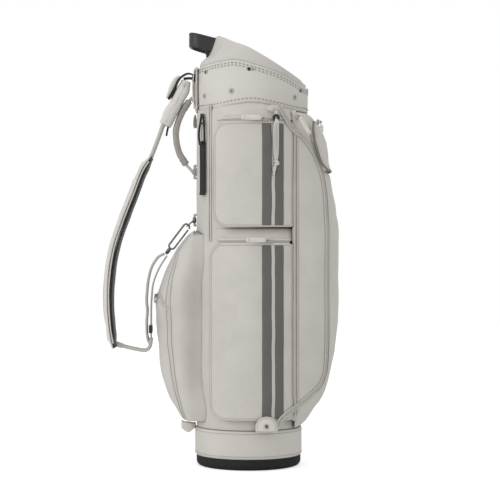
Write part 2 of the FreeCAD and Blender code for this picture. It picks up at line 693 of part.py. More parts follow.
BALL = [(-90, 478), (-111, 475), (-134, 462), (-149, 447), (-164, 414), (-176, 390), (-183, 372),
        (-189, 358), (-195, 338), (-192, 308), (-188, 258), (-184, 233), (-180, 196), (-174, 171),
        (-165, 146), (-153, 121), (-145, 108), (-138, 97), (-120, 95)]


def ball_parts():
    side_view = outline([(-60, 95), (-60, 478)], BALL, "2 * ball_half_width")
    plan = cylinder("ball_radius", "60", "520", "hang_x")
    keep(cut(common(side_view, plan), cylinder("body_radius + 2 * gap", "50", "530")), "ball_pocket")

    # Slider on the zip across the pocket's front, and a ring that swings on it.
    hang, face, z = S["hang_x"], S["ball_radius"] + 0.3, 352
    wedge = 198.0
    spot = around(hang, face, wedge, z)
    outward = (math.cos(math.radians(wedge)), math.sin(math.radians(wedge)), 0)
    body = rod("4", "1.8", spot, outward)
    pin = rod("pull_pin", "4.2", spot, outward)
    keep(fuse(body, pin), "ball_slider")
    ring_spot = around(hang, face + 2.9, wedge, z)
    eye = hollow_rod("pull_eye", "pull_pin + running", "1.2", around(hang, face + 2.2, wedge, z), outward)
    ring = torus("6.2", "0.8", (ring_spot[0], ring_spot[1], z - 9), outward)
    keep(fuse(eye, ring), "ball_ring")


# ---------------------------------------------------------------- hanging fittings

def towel_parts():
    angle, radius = S["towel_angle"], S["towel_radius"]
    outward = (math.cos(math.radians(angle)), math.sin(math.radians(angle)), 0)
    tangent = (-outward[1], outward[0], 0)

    def at(extra, z, sideways=0.0):
        x, y, z = around(0, radius + extra, angle, z)
        return (x + tangent[0] * sideways, y + tangent[1] * sideways, z)

    # Two posts under the collar with a cross pin between them for the clip.
    posts = [rod("hook_pin", "4.4", at(-4.6, 720, side * 4), outward) for side in (-1, 1)]
    cross = rod("hook_pin", "10", at(0, 720, -5), tangent)
    keep(fuse(*posts, cross), "towel_ring")

    def upright(shape):
        shape.Placement = FreeCAD.Placement(V(*at(0, 0)), FreeCAD.Rotation(V(1, 0, 0), V(*tangent)))
        return shape

    def clip_outline(grow):
        def draw(sketch):
            lines = [(-2 - grow, 715 + grow), (-6 - grow, 690), (-7.5 - grow, 664 - grow)]
            add_lines(sketch, lines + [(7.5 + grow, 664 - grow), (5.5 + grow, 704), (2 + grow, 715 + grow),
                                       lines[0]])
        return draw
    outer = prism("XZ_Plane", "5", clip_outline(3.0))
    inner = prism("XZ_Plane", "7", clip_outline(0.0))
    frame = upright(cut(outer, inner))
    eye = hollow_rod("3.6", "hook_pin + running", "4", at(0, 720, -2), tangent)
    keep(fuse(frame, eye), "towel_clip")

    loop = hollow_rod("4.9", "3.1", "12", at(0, 662.5, -6), tangent)
    band = upright(polygon([(-7.5, 562), (7.5, 562), (7.5, 660), (-7.5, 660)], "3"))
    keep(fuse(loop, band), "towel_strap")


def cord_parts():
    shift, radius = S["side_shift"], S["cord_radius"]
    angle = -90 + 20.5
    outward = (math.cos(math.radians(angle)), math.sin(math.radians(angle)), 0)
    tangent = V(-outward[1], outward[0], 0)

    def at(extra, z, sideways=0.0):
        x, y, z = around(shift, radius + extra, angle, z)
        return (x + tangent.x * sideways, y + tangent.y * sideways, z)

    # Tab under the collar, with a stud that the cord's ring hangs from.
    tab = polygon([(-9.5, 722), (9.5, 722), (9.5, 733), (-9.5, 733)], "4")
    tab.Placement = FreeCAD.Placement(V(*at(-6, 0)), FreeCAD.Rotation(V(0, 0, 1), 90 + angle))
    stud = rod("hook_pin", "9", at(-6, 726), outward)
    keep(fuse(tab, stud), "cord_tab")

    eye = hollow_rod("3.4", "hook_pin + running", "2.4", at(-1.2, 726), outward)
    ring = torus("7.2", "1.6", at(0, 715.6), outward)
    keep(fuse(eye, ring), "cord_ring")
    cords = []
    for side in (-1, 1):
        line = [at(0, z, side * spread) for z, spread in ((706.6, 1.2), (680, 2.6), (650, 2.4), (622, 1.2))]
        cords.append(cord(line, "1.1"))
    knot = doc.addObject("Part::Sphere", "knot")
    knot.Radius = 3.4
    knot.Placement.Base = V(*at(0, 619))
    tail = cord([at(0, 617, 0), at(0, 608, -2), at(0, 598, -5)], "1.1")
    keep(fuse(*cords, knot, tail), "tee_cord")


def base_fittings():
    # Umbrella tab: sewn on above the cuff, folded up at its front, and leaning back to the pocket.
    half, wall = S["tab_half"], S["tab_wall"]
    x, front, low, straight = 36.0, -142.5, 82.5, 9.5

    def draw(sketch):
        add_lines(sketch, [(-half, straight), (-half, 0), (half, 0), (half, straight)])
        arc = Part.Circle(V(0, straight, 0), V(0, 0, 1), half)
        sketch.addGeometry(Part.ArcOfCircle(arc, 0, math.pi), False)
    lean = math.radians(S["tab_lean"])
    face = prism("XZ_Plane", "tab_wall", draw)
    face.Placement = FreeCAD.Placement(V(x, front, low), FreeCAD.Rotation(V(1, 0, 0), -S["tab_lean"]))
    eyelet = V(x, front, low) + V(0, math.sin(lean), math.cos(lean)) * 11
    outward = V(0, -math.cos(lean), math.sin(lean))
    hole = rod("tip_radius", "12", tuple(eyelet - outward * 6), tuple(outward))
    leg = cut(box(f"{x} - tab_half", f"{x} + tab_half", front - wall / 2, "-90", low - 1, low + wall - 1),
              cylinder("body_radius + gap", "70", "100"))
    keep(fuse(cut(face, hole), leg), "umbrella_holder")

    # Lift loop at the foot of the spine.
    posts = [box("-116.5", "-110.4", y, y + 2.6, "76", "86") for y in (-16, 13.4)]
    pin = rod("loop_pin", "30", (-114, -15, 81), (0, 1, 0))
    keep(fuse(*posts, pin), "lift_loop_tab")
    hub = hollow_rod("3.4", "loop_pin + running", "26", (-114, -13, 81), (0, 1, 0))
    outer = box("-138", "-116.4", "-13", "13", "79.6", "82.4")
    keep(fuse(hub, cut(outer, box("-134", "-119", "-9", "9", "78", "84"))), "lift_loop")


# ---------------------------------------------------------------- build, check, export

base_parts()
collar_parts()
collar_fittings()
top_handle_parts()
spine_tabs()
strap_parts()
carry_handle_parts()
side_pockets()
garment_parts()
more_zips()
ball_parts()
towel_parts()
cord_parts()
base_fittings()

doc.recompute()
failed = [f"{obj.Label} ({obj.TypeId})" for obj in doc.Objects
          if "Invalid" in obj.State or "Error" in obj.State]
if failed:
    raise RuntimeError("objects failed: " + ", ".join(failed))
empty = [p.Label for p in parts if p.Shape.isNull() or not p.Shape.isValid() or not p.Shape.Solids]
if empty:
    raise RuntimeError("no valid solid in: " + ", ".join(empty))

os.makedirs("parts", exist_ok=True)
for part in parts:
    part.Shape.exportStep(f"parts/{part.Label}.step")
print(len(parts), "sub-parts")
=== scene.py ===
"""Golf staff bag: the looks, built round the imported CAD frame. Shapes are written in millimetres
in the row frame (+Z up, -X the spine, +X the garment pocket) and turned into metres by make()."""

import math

import bmesh
import bpy
import numpy as np
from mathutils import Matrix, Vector, kdtree, noise


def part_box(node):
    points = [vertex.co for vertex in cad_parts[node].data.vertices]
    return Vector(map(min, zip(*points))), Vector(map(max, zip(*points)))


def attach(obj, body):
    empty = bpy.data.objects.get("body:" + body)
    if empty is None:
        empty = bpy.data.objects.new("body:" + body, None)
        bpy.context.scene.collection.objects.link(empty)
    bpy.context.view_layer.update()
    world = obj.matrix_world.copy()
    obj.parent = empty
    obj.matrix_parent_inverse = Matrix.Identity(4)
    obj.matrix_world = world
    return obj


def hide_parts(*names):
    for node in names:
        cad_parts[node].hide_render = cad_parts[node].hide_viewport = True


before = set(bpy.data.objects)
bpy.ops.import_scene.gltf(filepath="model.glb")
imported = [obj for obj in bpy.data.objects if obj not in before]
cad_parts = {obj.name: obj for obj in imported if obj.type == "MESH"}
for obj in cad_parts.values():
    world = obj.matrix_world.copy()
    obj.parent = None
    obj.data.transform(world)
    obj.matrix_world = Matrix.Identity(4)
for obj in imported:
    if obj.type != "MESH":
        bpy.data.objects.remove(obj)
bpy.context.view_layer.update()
MM = 0.001


def corners(node):
    low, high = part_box(node)
    return np.array(low) / MM, np.array(high) / MM


BODY_LOW, BODY_HIGH = corners("body_shell")
BODY_R = BODY_HIGH[1]
BODY_TOP = BODY_HIGH[2]
COLLAR_LOW, COLLAR_HIGH = corners("collar_cover")
COLLAR_X = (COLLAR_LOW[0] + COLLAR_HIGH[0]) / 2
COLLAR_R = COLLAR_HIGH[1]
CUFF_LOW, CUFF_HIGH = corners("base_cuff")
HANG_X = corners("spine_tabs")[0][0] + 2.4  # axis of the bars that the fittings hang on
SIDE_X = 8.0  # axis of the side pockets' round face
SIDE_R = -corners("lower_pocket")[0][1]
UP = (0, 0, 1.0)


# ---------------------------------------------------------------- shape tools

def smoothstep(x):
    x = np.clip(x, 0.0, 1.0)
    return x * x * (3 - 2 * x)


def ease(x):
    """smoothstep of one number."""
    return float(smoothstep(x))


def facing(angle):
    """Directions out of the bag and along its side, seen at an angle round the axis."""
    out = np.array([math.cos(angle), math.sin(angle), 0])
    return out, np.array([-out[1], out[0], 0])


def spline(points, count=64, closed=False):
    """Even points along a Catmull-Rom curve through the given ones."""
    p = np.array(points, float)
    n = len(p)
    fine = []
    spans = n if closed else n - 1
    for i in range(spans):
        a = p[(i - 1) % n] if closed or i > 0 else 2 * p[0] - p[1]
        b, c = p[i], p[(i + 1) % n]
        d = p[(i + 2) % n] if closed or i + 2 < n else 2 * p[-1] - p[-2]
        for t in np.linspace(0, 1, 24, endpoint=False):
            fine.append(0.5 * (2 * b + (c - a) * t + (2 * a - 5 * b + 4 * c - d) * t ** 2
                               + (3 * b - a - 3 * c + d) * t ** 3))
    fine.append(p[0] if closed else p[-1])
    fine = np.array(fine)
    steps = np.r_[0, np.cumsum(np.linalg.norm(np.diff(fine, axis=0), axis=1))]
    wanted = np.linspace(0, steps[-1], count + 1 if closed else count)
    even = np.stack([np.interp(wanted, steps, fine[:, k]) for k in range(fine.shape[1])], 1)
    return even[:-1] if closed else even


def curve_value(points, x):
    """Height of a smooth outline, given as (x, value) points, at x."""
    line = spline(sorted(points), 200)
    return np.interp(x, line[:, 0], line[:, 1])


def wobble(point, size, seed=0.0):
    """Smooth noise, -1 to 1, with features of the given size in mm."""
    return noise.noise(Vector((point[0] / size + seed, point[1] / size, point[2] / size)))


def make(name, verts, faces, material, body, replaces=(), slot=None, smooth=True, levels=0):
    mesh = bpy.data.meshes.new(name)
    mesh.from_pydata([tuple(np.array(v) * MM) for v in verts], [], faces)
    tidy = bmesh.new()
    tidy.from_mesh(mesh)
    bmesh.ops.remove_doubles(tidy, verts=tidy.verts, dist=1e-6)
    bmesh.ops.recalc_face_normals(tidy, faces=tidy.faces)
    tidy.to_mesh(mesh)
    tidy.free()
    obj = bpy.data.objects.new(name, mesh)
    bpy.context.scene.collection.objects.link(obj)
    mesh.materials.append(material)
    mesh.polygons.foreach_set("use_smooth", [smooth] * len(mesh.polygons))
    if levels:
        subdivide = obj.modifiers.new("subdivide", "SUBSURF")
        subdivide.levels = levels
        subdivide.render_levels = levels
    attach(obj, body)
    if replaces:
        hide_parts(*replaces)
    return obj


def merge(*pieces):
    """One (verts, faces) from several."""
    verts, faces = [], []
    for v, f in pieces:
        start = len(verts)
        verts.extend(list(map(tuple, v)))
        faces.extend([tuple(i + start for i in face) for face in f])
    return verts, faces


def loft(loops, closed=False, caps=True):
    """Skin over closed loops of equal length; open stacks get end caps."""
    loops = [np.array(loop) for loop in loops]
    n, m = len(loops), len(loops[0])
    verts = [tuple(p) for loop in loops for p in loop]
    faces = []
    for i in range(n if closed else n - 1):
        for j in range(m):
            a, b = i * m + j, i * m + (j + 1) % m
            c, d = ((i + 1) % n) * m + (j + 1) % m, ((i + 1) % n) * m + j
            faces.append((a, b, c, d))
    if caps and not closed:
        faces.append(tuple(range(m))[::-1])
        faces.append(tuple(range((n - 1) * m, n * m)))
    return verts, faces


def oval(half_wide, half_thick, power=2.0, count=20):
    """Section outline: an ellipse, or with a higher power a rounded rectangle."""
    a = np.linspace(0, 2 * math.pi, count, endpoint=False)
    c, s = np.cos(a), np.sin(a)
    return np.stack([half_wide * np.sign(c) * np.abs(c) ** (2 / power),
                     half_thick * np.sign(s) * np.abs(s) ** (2 / power)], 1)


def sweep(path, section, side=None, closed=False, scale=None, round_end=0.0):
    """Section carried along a path. The section's first axis follows side, if it is given."""
    path = np.array(path, float)
    n = len(path)
    if closed:
        tangents = np.roll(path, -1, 0) - np.roll(path, 1, 0)
    else:
        tangents = np.gradient(path, axis=0)
    tangents /= np.linalg.norm(tangents, axis=1)[:, None]
    if side is None:
        guess = np.array([0, 0, 1.0]) if abs(tangents[0][2]) < 0.9 else np.array([1.0, 0, 0])
        wide = np.cross(guess, tangents[0])
    sides = []
    for i in range(n):
        if side is None:
            wide = wide - tangents[i] * wide.dot(tangents[i])
        else:
            given = np.array(side[i] if np.ndim(side) == 2 else side, float)
            wide = given - tangents[i] * given.dot(tangents[i])
        wide = wide / np.linalg.norm(wide)
        sides.append(wide)
    loops = []
    for i in range(n):
        s = (1.0, 1.0) if scale is None else scale(i / (n - 1))
        thick = np.cross(tangents[i], sides[i])
        loops.append([path[i] + sides[i] * p[0] * s[0] + thick * p[1] * s[1] for p in section])
    if round_end and not closed:
        first, last = np.array(loops[0]), np.array(loops[-1])
        for k in (0.45, 0.8, 0.97):
            shrink = math.sqrt(1 - k * k)
            loops.insert(0, path[0] - tangents[0] * round_end * k + (first - path[0]) * shrink)
            loops.append(path[-1] + tangents[-1] * round_end * k + (last - path[-1]) * shrink)
    return loft(loops, closed)


def cable(path, radius, closed=False, count=10):
    return sweep(path, oval(radius, radius, count=count), closed=closed, round_end=0 if closed else radius)


def ring(centre, radius, wire, axis, count=28):
    """Round wire ring."""
    axis = np.array(axis, float) / np.linalg.norm(axis)
    guess = np.array([0, 0, 1.0]) if abs(axis[2]) < 0.9 else np.array([1.0, 0, 0])
    u = np.cross(axis, guess)
    u /= np.linalg.norm(u)
    v = np.cross(axis, u)
    turn = np.linspace(0, 2 * math.pi, count, endpoint=False)
    path = [np.array(centre) + radius * (math.cos(t) * u + math.sin(t) * v) for t in turn]
    return cable(path, wire, closed=True, count=8)


def disc(centre, radius, depth, axis, rim=0.3, count=24, hollow=0.0):
    """Round stud or eyelet with a softened edge, standing on its centre along axis."""
    axis = np.array(axis, float) / np.linalg.norm(axis)
    guess = np.array([0, 0, 1.0]) if abs(axis[2]) < 0.9 else np.array([1.0, 0, 0])
    u = np.cross(axis, guess)
    u /= np.linalg.norm(u)
    v = np.cross(axis, u)
    steps = [(1, 0), (1, 0.6), (1 - rim * 0.4, 0.9), (1 - rim, 1)]
    if hollow:
        steps += [(hollow + 0.12, 1), (hollow, 0.75), (hollow, 0)]
    loops = [[np.array(centre) + axis * depth * z + radius * r * (math.cos(t) * u + math.sin(t) * v)
              for t in np.linspace(0, 2 * math.pi, count, endpoint=False)] for r, z in steps]
    return loft(loops, closed=bool(hollow))


def block(centre, half, axes=None, bevel=0.25):
    """Box with softened edges. half is its half size along the three axes."""
    axes = np.eye(3) if axes is None else np.array(axes, float)
    hx, hy, hz = half
    soft = min(half) * bevel
    loops = []
    for z, inset in ((-hz, soft), (-hz + soft, 0), (hz - soft, 0), (hz, soft)):
        outline = oval(hx - inset, hy - inset, power=9, count=20)
        loops.append([np.array(centre) + axes[0] * p[0] + axes[1] * p[1] + axes[2] * z for p in outline])
    return loft(loops)


def stitches(path, lift, length=3.4, gap=2.0, radius=0.42):
    """Row of thread stitches along a path; lift gives the way out of the surface at each point."""
    path, lift = np.array(path, float), np.array(lift, float)
    steps = np.r_[0, np.cumsum(np.linalg.norm(np.diff(path, axis=0), axis=1))]
    pieces = []
    for start in np.arange(gap, steps[-1] - length, length + gap):
        spots = []
        for t, up in ((0.0, -0.3), (0.18, 0.35), (0.5, 0.5), (0.82, 0.35), (1.0, -0.3)):
            at = start + t * length
            p = np.array([np.interp(at, steps, path[:, k]) for k in range(3)])
            n = np.array([np.interp(at, steps, lift[:, k]) for k in range(3)])
            spots.append(p + n / max(np.linalg.norm(n), 1e-9) * up * radius * 2)
        pieces.append(sweep(spots, oval(radius, radius, count=6)))
    return merge(*pieces)


def side_line(points, count):
    """Smooth line in the XZ plane through (x, z) points."""
    return spline([(x, 0, z) for x, z in points], count)


def strap(points, width, thick, count=60, power=5.0, round_end=0.0, wave=0.0):
    """Flat strap along a line in the XZ plane, its width along Y."""
    path = side_line(points, count)
    if wave:
        path = path + np.array([[wobble(p, 26) * wave, 0, wobble(p, 26, 5) * wave] for p in path])
    return sweep(path, oval(width / 2, thick / 2, power, 24), side=(0, 1, 0), round_end=round_end)


def around(x, radius, angle, z):
    return np.array([x + radius * math.cos(angle), radius * math.sin(angle), z])


def ring_loft(profile, count=180):
    """Ring whose closed section, profile(angle), is carried once round the axis."""
    return loft([profile(a) for a in np.linspace(0, 2 * math.pi, count, endpoint=False)], closed=True)


# ---------------------------------------------------------------- materials

def srgb(r, g, b):
    """Screen colour, 0 to 255, as the linear colour that nodes use."""
    return [((c / 255 + 0.055) / 1.055) ** 2.4 if c > 10 else c / 255 / 12.92 for c in (r, g, b)] + [1.0]


class Graph:
    """Short names for the node types that the materials are made of."""

    def __init__(self, name):
        self.material = bpy.data.materials.new(name)
        self.material.use_nodes = True
        self.tree = self.material.node_tree
        self.shader = self.tree.nodes["Principled BSDF"]
        self.place = self.node("ShaderNodeTexCoord").outputs["Object"]

    def node(self, kind, **settings):
        made = self.tree.nodes.new(kind)
        for key, value in settings.items():
            setattr(made, key, value)
        return made

    def link(self, source, target):
        self.tree.links.new(source, target)

    def math(self, operation, a, b=None):
        made = self.node("ShaderNodeMath", operation=operation)
        for socket, value in zip(made.inputs, (a, b)):
            if isinstance(value, (int, float)):
                socket.default_value = value
            elif value is not None:
                self.link(value, socket)
        return made.outputs[0]

    def noise(self, scale, detail=3.0, rough=0.55, stretch=None):
        made = self.node("ShaderNodeTexNoise")
        made.inputs["Scale"].default_value = scale
        made.inputs["Detail"].default_value = detail
        made.inputs["Roughness"].default_value = rough
        place = self.place
        if stretch:
            mapping = self.node("ShaderNodeMapping")
            mapping.inputs["Scale"].default_value = stretch
            self.link(place, mapping.inputs["Vector"])
            place = mapping.outputs[0]
        self.link(place, made.inputs["Vector"])
        return made.outputs["Fac"]

    def cells(self, scale, feature="F1"):
        made = self.node("ShaderNodeTexVoronoi", feature=feature)
        made.inputs["Scale"].default_value = scale
        self.link(self.place, made.inputs["Vector"])
        return made.outputs["Distance"]

    def remap(self, value, low, high, to_low, to_high):
        made = self.node("ShaderNodeMapRange")
        self.link(value, made.inputs["Value"])
        for key, number in (("From Min", low), ("From Max", high), ("To Min", to_low), ("To Max", to_high)):
            made.inputs[key].default_value = number
        return made.outputs[0]

    def blend_colour(self, factor, a, b, mode="MIX"):
        made = self.node("ShaderNodeMix", data_type="RGBA", blend_type=mode)
        colours = [s for s in made.inputs if s.type == "RGBA"]
        if isinstance(factor, (int, float)):
            made.inputs[0].default_value = factor
        else:
            self.link(factor, made.inputs[0])
        for socket, value in zip(colours, (a, b)):
            if isinstance(value, (list, tuple)):
                socket.default_value = value
            else:
                self.link(value, socket)
        return [s for s in made.outputs if s.type == "RGBA"][0]

    def weave(self, period, across="around"):
        """Plain weave, 0 to 1: threads up the object and threads across it."""
        split = self.node("ShaderNodeSeparateXYZ")
        self.link(self.place, split.inputs[0])
        x, y, z = split.outputs
        if across == "around":
            turn = self.math("ARCTAN2", y, x)
            cross = self.math("MULTIPLY", turn, 0.12)
        else:
            cross = y
            z = self.math("ADD", z, self.math("MULTIPLY", x, 0.35))
        rate = 2 * math.pi / (period * MM)
        up = self.math("SINE", self.math("MULTIPLY", z, rate))
        over = self.math("SINE", self.math("MULTIPLY", cross, rate))
        crossed = self.math("MULTIPLY", self.math("MULTIPLY", up, over), 0.5)
        return self.math("ADD", crossed, 0.5)

    def bump(self, height, strength, distance):
        made = self.node("ShaderNodeBump")
        made.inputs["Strength"].default_value = strength
        made.inputs["Distance"].default_value = distance * MM
        self.link(height, made.inputs["Height"])
        previous = self.shader.inputs["Normal"]
        if previous.is_linked:
            self.link(previous.links[0].from_socket, made.inputs["Normal"])
        self.link(made.outputs[0], previous)

    def painted_corner_shade(self, colour, amount=0.55, reach=7.0):
        """Painted shade: the colour darkened in the narrow corners beside seams and pipings, where an ambient
        occlusion node finds them closed in.
        """
        shut = self.node("ShaderNodeAmbientOcclusion", samples=6)
        shut.inputs["Distance"].default_value = reach * MM
        dark = self.remap(shut.outputs["AO"], 0.30, 0.92, amount, 0.0)
        return self.blend_colour(dark, colour, (0.05, 0.045, 0.04, 1.0))

    def wear(self, colour, worn, amount=0.5):
        """Paler along convex edges, broken up by noise."""
        edge = self.node("ShaderNodeNewGeometry").outputs["Pointiness"]
        edge = self.remap(edge, 0.52, 0.60, 0.0, amount)
        edge = self.math("MULTIPLY", edge, self.remap(self.noise(90), 0.35, 0.65, 0.3, 1.0))
        return self.blend_colour(edge, colour, worn)

    def set(self, **values):
        for key, value in values.items():
            socket = self.shader.inputs[key.replace("_", " ")]
            if isinstance(value, (int, float, list, tuple)):
                socket.default_value = value
            else:
                self.link(value, socket)


def shade(colour, factor):
    return [min(c * factor, 1.0) for c in colour[:3]] + [1.0]


def cloth(name, colour, period=1.1, across="around", rough=0.82, sheen=0.25, relief=0.12, soil=0.08):
    """Woven cloth: threads, slubs, faint cloudiness, a soft sheen and painted shade in the narrow corners."""
    g = Graph(name)
    weave = g.weave(period, across)
    slub = g.noise(700, 2.0, 0.5, stretch=(1, 1, 0.15))
    cloud = g.noise(14, 4.0, 0.6)
    base = g.blend_colour(g.remap(cloud, 0.3, 0.7, 0.0, 1.0), shade(colour, 1 - soil),
                          shade(colour, 1 + soil / 2))
    base = g.blend_colour(g.remap(weave, 0.0, 1.0, 0.0, 0.22), base, shade(colour, 0.72))
    base = g.blend_colour(g.remap(slub, 0.55, 0.75, 0.0, 0.25), base, shade(colour, 1.12))
    base = g.wear(base, shade(colour, 1.12), 0.35)
    # base colour with painted shade in the narrow corners beside seams and pipings
    g.set(Base_Color=g.painted_corner_shade(base), Roughness=g.remap(cloud, 0.3, 0.7, rough - 0.06, rough + 0.06),
          Sheen_Weight=sheen, Sheen_Roughness=0.5)
    g.shader.inputs["Sheen Tint"].default_value = shade(colour, 1.4)
    g.bump(slub, 0.10, 0.25)
    g.bump(weave, 0.35, relief)
    return g.material


def leather(name, colour, grain=520, rough=0.55, relief=0.18, sheen=0.1, wear=0.4):
    """Synthetic leather: pebbled grain, faint crease marks, polished high spots and painted shade in the
    narrow corners.
    """
    g = Graph(name)
    pebble = g.cells(grain)
    crease = g.noise(160, 5.0, 0.65)
    cloud = g.noise(10, 3.0, 0.55)
    base = g.blend_colour(g.remap(cloud, 0.3, 0.7, 0.0, 1.0), shade(colour, 0.95), shade(colour, 1.04))
    base = g.blend_colour(g.remap(pebble, 0.0, 0.5, 0.16, 0.0), base, shade(colour, 0.75))
    base = g.wear(base, shade(colour, 1.15), wear)
    # base colour with painted shade in the narrow corners beside seams and pipings
    g.set(Base_Color=g.painted_corner_shade(base), Roughness=g.remap(crease, 0.3, 0.7, rough - 0.07, rough + 0.08),
          Sheen_Weight=sheen)
    g.bump(crease, 0.12, 0.5)
    g.bump(pebble, 0.30, relief)
    return g.material


def moulded(name, colour, rough=0.45, texture=900, relief=0.05, wear=0.3):
    """Moulded plastic or rubber: fine spark texture, rubbed edges."""
    g = Graph(name)
    spark = g.noise(texture, 2.0, 0.6)
    cloud = g.noise(22, 3.0)
    base = g.blend_colour(g.remap(cloud, 0.3, 0.7, 0.0, 1.0), shade(colour, 0.9), shade(colour, 1.1))
    base = g.wear(base, shade(colour, 1.9), wear)
    g.set(Base_Color=base, Roughness=g.remap(cloud, 0.3, 0.7, rough - 0.06, rough + 0.08))
    g.bump(spark, 0.25, relief)
    return g.material


def metal(name, colour, rough=0.28, scratch=0.05):
    """Plated or brushed metal: drawn lines and small smudges."""
    g = Graph(name)
    lines = g.noise(1500, 2.0, 0.6, stretch=(1, 1, 0.08))
    smudge = g.noise(120, 3.0)
    base = g.blend_colour(g.remap(smudge, 0.3, 0.7, 0.0, 0.5), colour, shade(colour, 0.8))
    g.set(Base_Color=base, Metallic=1.0, Roughness=g.remap(smudge, 0.3, 0.7, rough - 0.06, rough + 0.1))
    g.bump(lines, 0.15, scratch)
    return g.material


def mesh_cloth(name, colour):
    """Black spacer mesh: round holes in a knitted face."""
    g = Graph(name)
    holes = g.cells(420)
    base = g.blend_colour(g.remap(holes, 0.1, 0.4, 0.0, 1.0), shade(colour, 0.25), shade(colour, 1.6))
    g.set(Base_Color=base, Roughness=0.9, Sheen_Weight=0.3)
    g.bump(holes, 0.8, 0.9)
    return g.material


CANVAS = cloth("canvas", srgb(212, 208, 201))
CANVAS_STRAP = cloth("canvas_strap", srgb(224, 221, 214), across="y")
LEATHER = leather("leather_pale", srgb(214, 210, 203))
RIM = leather("rim_leather", srgb(207, 203, 197), grain=700, rough=0.5, relief=0.10)
PIPING = leather("piping_pale", srgb(205, 200, 193), grain=900, rough=0.6, relief=0.08)
WEBBING = cloth("webbing_pale", srgb(198, 195, 187), period=1.7, across="y", relief=0.4, rough=0.75)
TAPE = cloth("zip_tape", srgb(190, 186, 178), period=0.9, relief=0.15)
GRIP = cloth("grip_cloth", srgb(172, 168, 159), period=1.0, across="y", relief=0.15)
STRIPE = cloth("stripe_woven", srgb(112, 108, 104), period=1.6, relief=0.45, sheen=0.1)
LINING = cloth("divider_cloth", srgb(120, 118, 113), period=1.4, sheen=0.5)
INNER = moulded("inner_tube_plastic", srgb(140, 138, 133), rough=0.5)
WEBBING_DARK = cloth("webbing_black", srgb(36, 36, 37), period=1.7, across="y", relief=0.4, rough=0.7)
# Tan leather of the spine leaf, its colour darkened further with painted shade for the shadow that the leaf
# lies in.
LEATHER_TAN_SHADED = leather("leather_tan_shaded", srgb(150, 140, 131), grain=700, rough=0.6)
GRIP_BAND = leather("grip_band", srgb(162, 159, 152), grain=800, rough=0.7, relief=0.1)
LEATHER_DARK = leather("leather_black", srgb(38, 39, 40), grain=600, rough=0.45, relief=0.2)
RUBBER = moulded("rubber_black", srgb(26, 26, 26), rough=0.8, texture=500, relief=0.12, wear=0.1)
PLASTIC_DARK = moulded("plastic_black", srgb(28, 28, 29), rough=0.35)
PLASTIC_PALE = moulded("plastic_pale", srgb(206, 204, 199), rough=0.45)
STEEL = metal("steel_satin", srgb(128, 126, 122))
CHROME = metal("chrome", srgb(168, 168, 170), rough=0.16)
THREAD = cloth("thread", srgb(176, 171, 162), period=0.5, rough=0.7, relief=0.05)
# Painted shade: the collar's thread is made darker to stand for the shade along its stitches.
THREAD_COLLAR_SHADE = cloth("thread_collar_shaded", srgb(150, 146, 138), period=0.5, rough=0.7, relief=0.05)
PULL_CLOTH = cloth("pull_cloth", srgb(226, 223, 216), period=0.9, relief=0.1)
THREAD_DARK = cloth("thread_dark", srgb(70, 70, 72), period=0.5, rough=0.7, relief=0.05)
CORD = cloth("cord_braid", srgb(222, 219, 211), period=1.2, relief=0.3)
MESH_DARK = mesh_cloth("mesh_black", srgb(22, 22, 23))
# Painted shade: the front pocket's zip tape is darkened to stand for the shade along that pocket's edge.
TAPE_PAINTED_SHADE = cloth("zip_tape_shaded", srgb(138, 134, 127), period=0.9)
PAINTED = moulded("painted_metal", srgb(176, 173, 166), rough=0.4, texture=1200)


# ---------------------------------------------------------------- base and body

def dress(node, material):
    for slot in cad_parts[node].material_slots:
        slot.material = material


def circle_path(x, radius, z, count=240):
    turn = np.linspace(0, 2 * math.pi, count)
    path = np.array([around(x, radius, t, z(t) if callable(z) else z) for t in turn])
    lift = np.array([around(0, 1, t, 0) for t in turn])
    return path, lift


